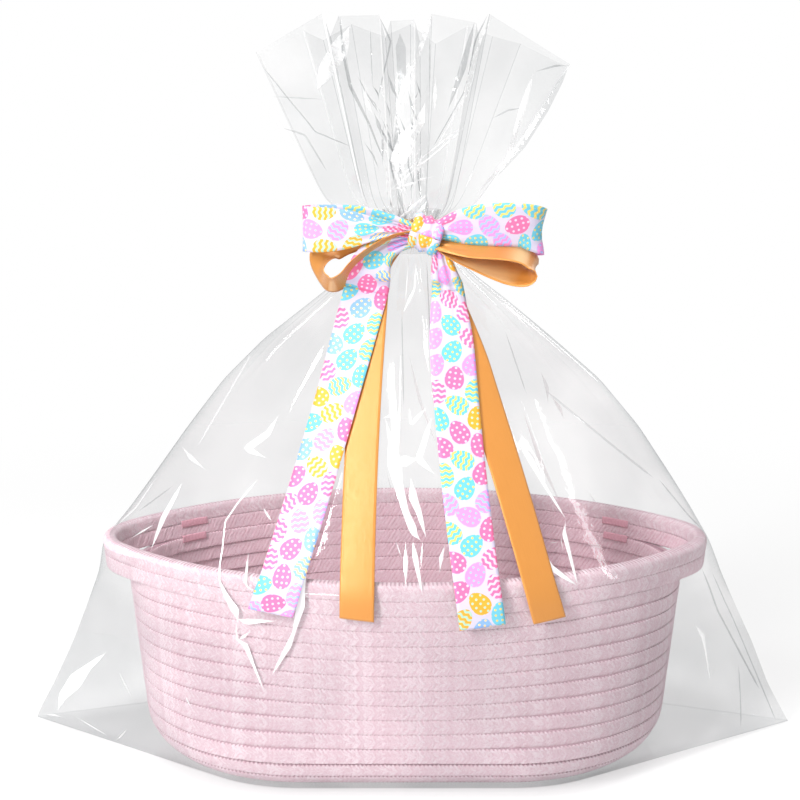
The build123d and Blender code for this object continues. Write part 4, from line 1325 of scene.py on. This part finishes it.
class GIFTBASKET_OT_printed(bpy.types.Operator):
    """Tie the printed ribbon over the satin one"""

    bl_idname = "gift_basket.printed"
    bl_label = "Printed Ribbon"

    def execute(self, context):
        shape = FilmShape(FILM_COLUMNS, 160)
        left = [
            (5, -33, 305.8, *UPRIGHT, 0.22), (-8, -34.5, 308.6, *UPRIGHT, 0.32),
            (-19, -35, 308.4, *UPRIGHT, 0.56), (-31, -35, 308.2, *UPRIGHT, 0.84),
            (-43, -34.5, 307.9, *UPRIGHT, 0.97), (-52, -33, 307.9, *UPRIGHT, 1.0),
            (-56.5, -29, 307.9, *UPRIGHT, 1.0), (-55, -24, 307.9, *UPRIGHT, 1.0),
            (-44, -20.5, 307.9, *UPRIGHT, 1.0), (-26, -19.5, 308.4, *UPRIGHT, 0.9),
            (-8, -20, 307.4, *UPRIGHT, 0.6), (5, -23, 305.4, *UPRIGHT, 0.35),
        ]
        right = [
            (16, -33, 306.4, *UPRIGHT, 0.3), (24, -34.5, 308.4, *LEANING, 0.62),
            (32, -36, 309.6, *LEANING, 0.84), (42, -37, 310.6, *LEANING, 0.97),
            (55, -37.5, 311, *LEANING, 1.0), (66, -36, 310.2, *LEANING, 1.0),
            (72.5, -32.5, 307.9, *LEANING, 1.0), (75, -27, 305.4, *LEANING, 0.97),
            (71, -22.5, 304.4, *UPRIGHT, 0.95), (56, -20, 306.4, *UPRIGHT, 0.95),
            (38, -19.5, 307.4, *UPRIGHT, 0.85), (18, -22, 305.4, *UPRIGHT, 0.4),
        ]
        for side, stations in (("left", left), ("right", right)):
            start = 43.0 if side == "left" else 210.0
            loop = ribbon(f"printed_bow_{side}", stations, *PRINTED, start, pleat=1.4)
            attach(loop, ROOT)
            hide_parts(f"printed_loop_{side}")
        roots = {
            "left": [
                (6, -31, 302, 0.2, 0.0, -0.98, 0.28), (-4, -32.5, 300, 0.35, 0.0, -0.94, 0.40),
                (-12, -33.5, 296.5, 0.6, 0.0, -0.8, 0.62), (-17.5, -34, 290.5, 0.9, 0.0, -0.45, 0.86),
                (-20.5, -34.5, 283, 1.0, 0.0, -0.12, 1.0),
            ],
            "right": [
                (13, -31, 300.5, 1.0, 0.0, 0.2, 0.28), (18.5, -32, 295, 1.0, 0.0, 0.12, 0.36),
                (20.5, -33, 288, 1.0, 0.0, 0.05, 0.50), (22, -33.5, 281, 1.0, 0.0, 0.0, 0.62),
            ],
        }
        tails = {"left": (-21.5, -72.5, 109.0, -0.27), "right": (23.5, 41.0, 104.0, 0.06)}
        for side, (top_x, bottom_x, bottom_z, skew) in tails.items():
            middle = tail_line(top_x, bottom_x, bottom_z, 1.5 if side == "left" else -2.0)
            start = 400.0 if side == "left" else 700.0
            hanging = hanging_stations(shape, middle, PIVOT_Z, bottom_z, PRINTED_WIDTH, 3.6)
            if side == "right":
                hanging = growing(hanging, (0.70, 0.84, 0.97))
            points, at = ribbon_grid(roots[side] + hanging, PRINTED_WIDTH, pleat=2.3, skew=skew)
            fold = int(np.argmax(points[:, 6, 2] <= PIVOT_Z))
            halves = (("root", slice(fold + 1), ROOT), ("tail", slice(fold, None), f"printed_tail_{side}"))
            for part, rows, body in halves:
                piece = ribbon_piece(f"egg_{part}_{side}", points[rows], start + at[rows], *PRINTED)
                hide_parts(f"printed_{part}_{side}")
                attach(piece, body)
        band = ring_stations(knot_station)
        knot = ribbon("printed_knot", band, *PRINTED, 906.0, pleat=2.4)
        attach(knot, ROOT)
        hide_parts("bow_knot")
        return {"FINISHED"}


# ------------------------------------------------------------------ stage

def area_lamp(name, place, target, size, power):
    lamp = bpy.data.lights.new(name, "AREA")
    lamp.shape = "RECTANGLE"
    lamp.size, lamp.size_y = size
    lamp.energy = power
    obj = bpy.data.objects.new(name, lamp)
    bpy.context.scene.collection.objects.link(obj)
    obj.location = place
    obj.rotation_euler = (Vector(target) - Vector(place)).to_track_quat("-Z", "Y").to_euler()


class GIFTBASKET_OT_stage(bpy.types.Operator):
    """Set the floor, the light and the camera"""

    bl_idname = "gift_basket.stage"
    bl_label = "Stage"

    def execute(self, context):
        s = context.scene.gift_basket_stage
        scene = context.scene
        scene.view_settings.view_transform = "Standard"
        scene.cycles.transparent_max_bounces = 32
        scene.world = bpy.data.worlds.new("studio")
        n = Nodes(scene.world, "ShaderNodeOutputWorld")
        path = n.add("ShaderNodeLightPath")
        seen = n.math("MAXIMUM", path.outputs["Is Camera Ray"], path.outputs["Is Glossy Ray"])
        either = n.math("MAXIMUM", seen, path.outputs["Is Transmission Ray"])
        strength = n.add("ShaderNodeMapRange", {0: either, 3: s.ambient, 4: 1.0})
        n.surface(n.add("ShaderNodeBackground", {0: WHITE, 1: strength}))

        bpy.ops.object.select_all(action="DESELECT")
        bpy.ops.mesh.primitive_plane_add(size=12.0, location=(0, 0, 0))
        floor = context.object
        floor.name = "stage_floor"
        n = Nodes(bpy.data.materials.new("stage_white"))
        matt = n.add("ShaderNodeBsdfDiffuse", {0: (0.90, 0.90, 0.90, 1.0)})
        glow = n.add("ShaderNodeEmission", {0: WHITE, 1: 1.0})
        rays = n.add("ShaderNodeLightPath")
        white = n.math("MAXIMUM", rays.outputs["Is Camera Ray"], rays.outputs["Is Transmission Ray"])
        away = n.add("ShaderNodeVectorMath", {0: n.place()}, operation="LENGTH")
        far = n.math("MULTIPLY_ADD", n.ramp(away.outputs["Value"], 0.3, 0.9), 0.4, 0.6)
        share = n.math("MULTIPLY", white, far)
        floor.data.materials.append(n.surface(n.add("ShaderNodeMixShader", {0: share, 1: matt, 2: glow})))

        middle = (0.0, 0.0, 0.16)
        area_lamp("key_left", (-1.0, -1.3, 1.2), middle, (0.30, 1.0), s.key)
        area_lamp("key_top", (-0.2, -0.5, 2.0), middle, (0.8, 0.4), s.key * 0.54)
        area_lamp("strip_right", (1.25, -0.55, 0.7), middle, (0.06, 1.0), s.key * 0.04)
        area_lamp("strip_back", (0.9, 1.3, 1.1), middle, (0.2, 1.0), s.key * 0.10)
        area_lamp("bounce", (-0.5, -1.5, 0.06), (0.0, 0.0, 0.28), (0.5, 0.08), s.key * 0.07)

        data = bpy.data.cameras.new("camera")
        data.sensor_width = 36.0
        data.lens = CAMERA_LENS
        camera = bpy.data.objects.new("camera", data)
        scene.collection.objects.link(camera)
        camera.location = (
            CAMERA_X, -math.cos(CAMERA_ELEVATION), CAMERA_AIM + math.sin(CAMERA_ELEVATION)
        )
        camera.rotation_euler = (math.pi / 2 - CAMERA_ELEVATION, 0.0, 0.0)
        scene.camera = camera
        return {"FINISHED"}


# ------------------------------------------------------------------ add-on

class GIFTBASKET_PT_panel(bpy.types.Panel):
    """Holds the settings and a button for each step"""

    bl_label = "Gift Basket"
    bl_idname = "GIFTBASKET_PT_panel"
    bl_space_type = "VIEW_3D"
    bl_region_type = "UI"
    bl_category = "Gift Basket"

    def draw(self, context):
        layout = self.layout
        for title, settings in SETTINGS.items():
            group = getattr(context.scene, f"gift_basket_{title}")
            box = layout.box()
            box.label(text=title.title())
            for name in settings.__annotations__:
                box.prop(group, name)
        for operator in OPERATORS:
            layout.operator(operator.bl_idname)


SETTINGS = {"rope": RopeSettings, "film": FilmSettings, "ribbon": RibbonSettings, "stage": StageSettings}
OPERATORS = (
    GIFTBASKET_OT_floor,
    GIFTBASKET_OT_wall,
    GIFTBASKET_OT_tacks,
    GIFTBASKET_OT_bag,
    GIFTBASKET_OT_fan,
    GIFTBASKET_OT_satin,
    GIFTBASKET_OT_printed,
    GIFTBASKET_OT_stage,
)
CLASSES = (*SETTINGS.values(), *OPERATORS, GIFTBASKET_PT_panel)


def register():
    for cls in CLASSES:
        bpy.utils.register_class(cls)
    for title, settings in SETTINGS.items():
        setattr(bpy.types.Scene, f"gift_basket_{title}", bpy.props.PointerProperty(type=settings))


def unregister():
    for title in SETTINGS:
        delattr(bpy.types.Scene, f"gift_basket_{title}")
    for cls in reversed(CLASSES):
        bpy.utils.unregister_class(cls)


def main():
    register()
    bpy.ops.gift_basket.floor()
    bpy.ops.gift_basket.wall()
    bpy.ops.gift_basket.tacks()
    bpy.ops.gift_basket.bag()
    bpy.ops.gift_basket.fan()
    bpy.ops.gift_basket.satin()
    bpy.ops.gift_basket.printed()
    bpy.ops.gift_basket.stage()


if __name__ == "__main__":
    main()
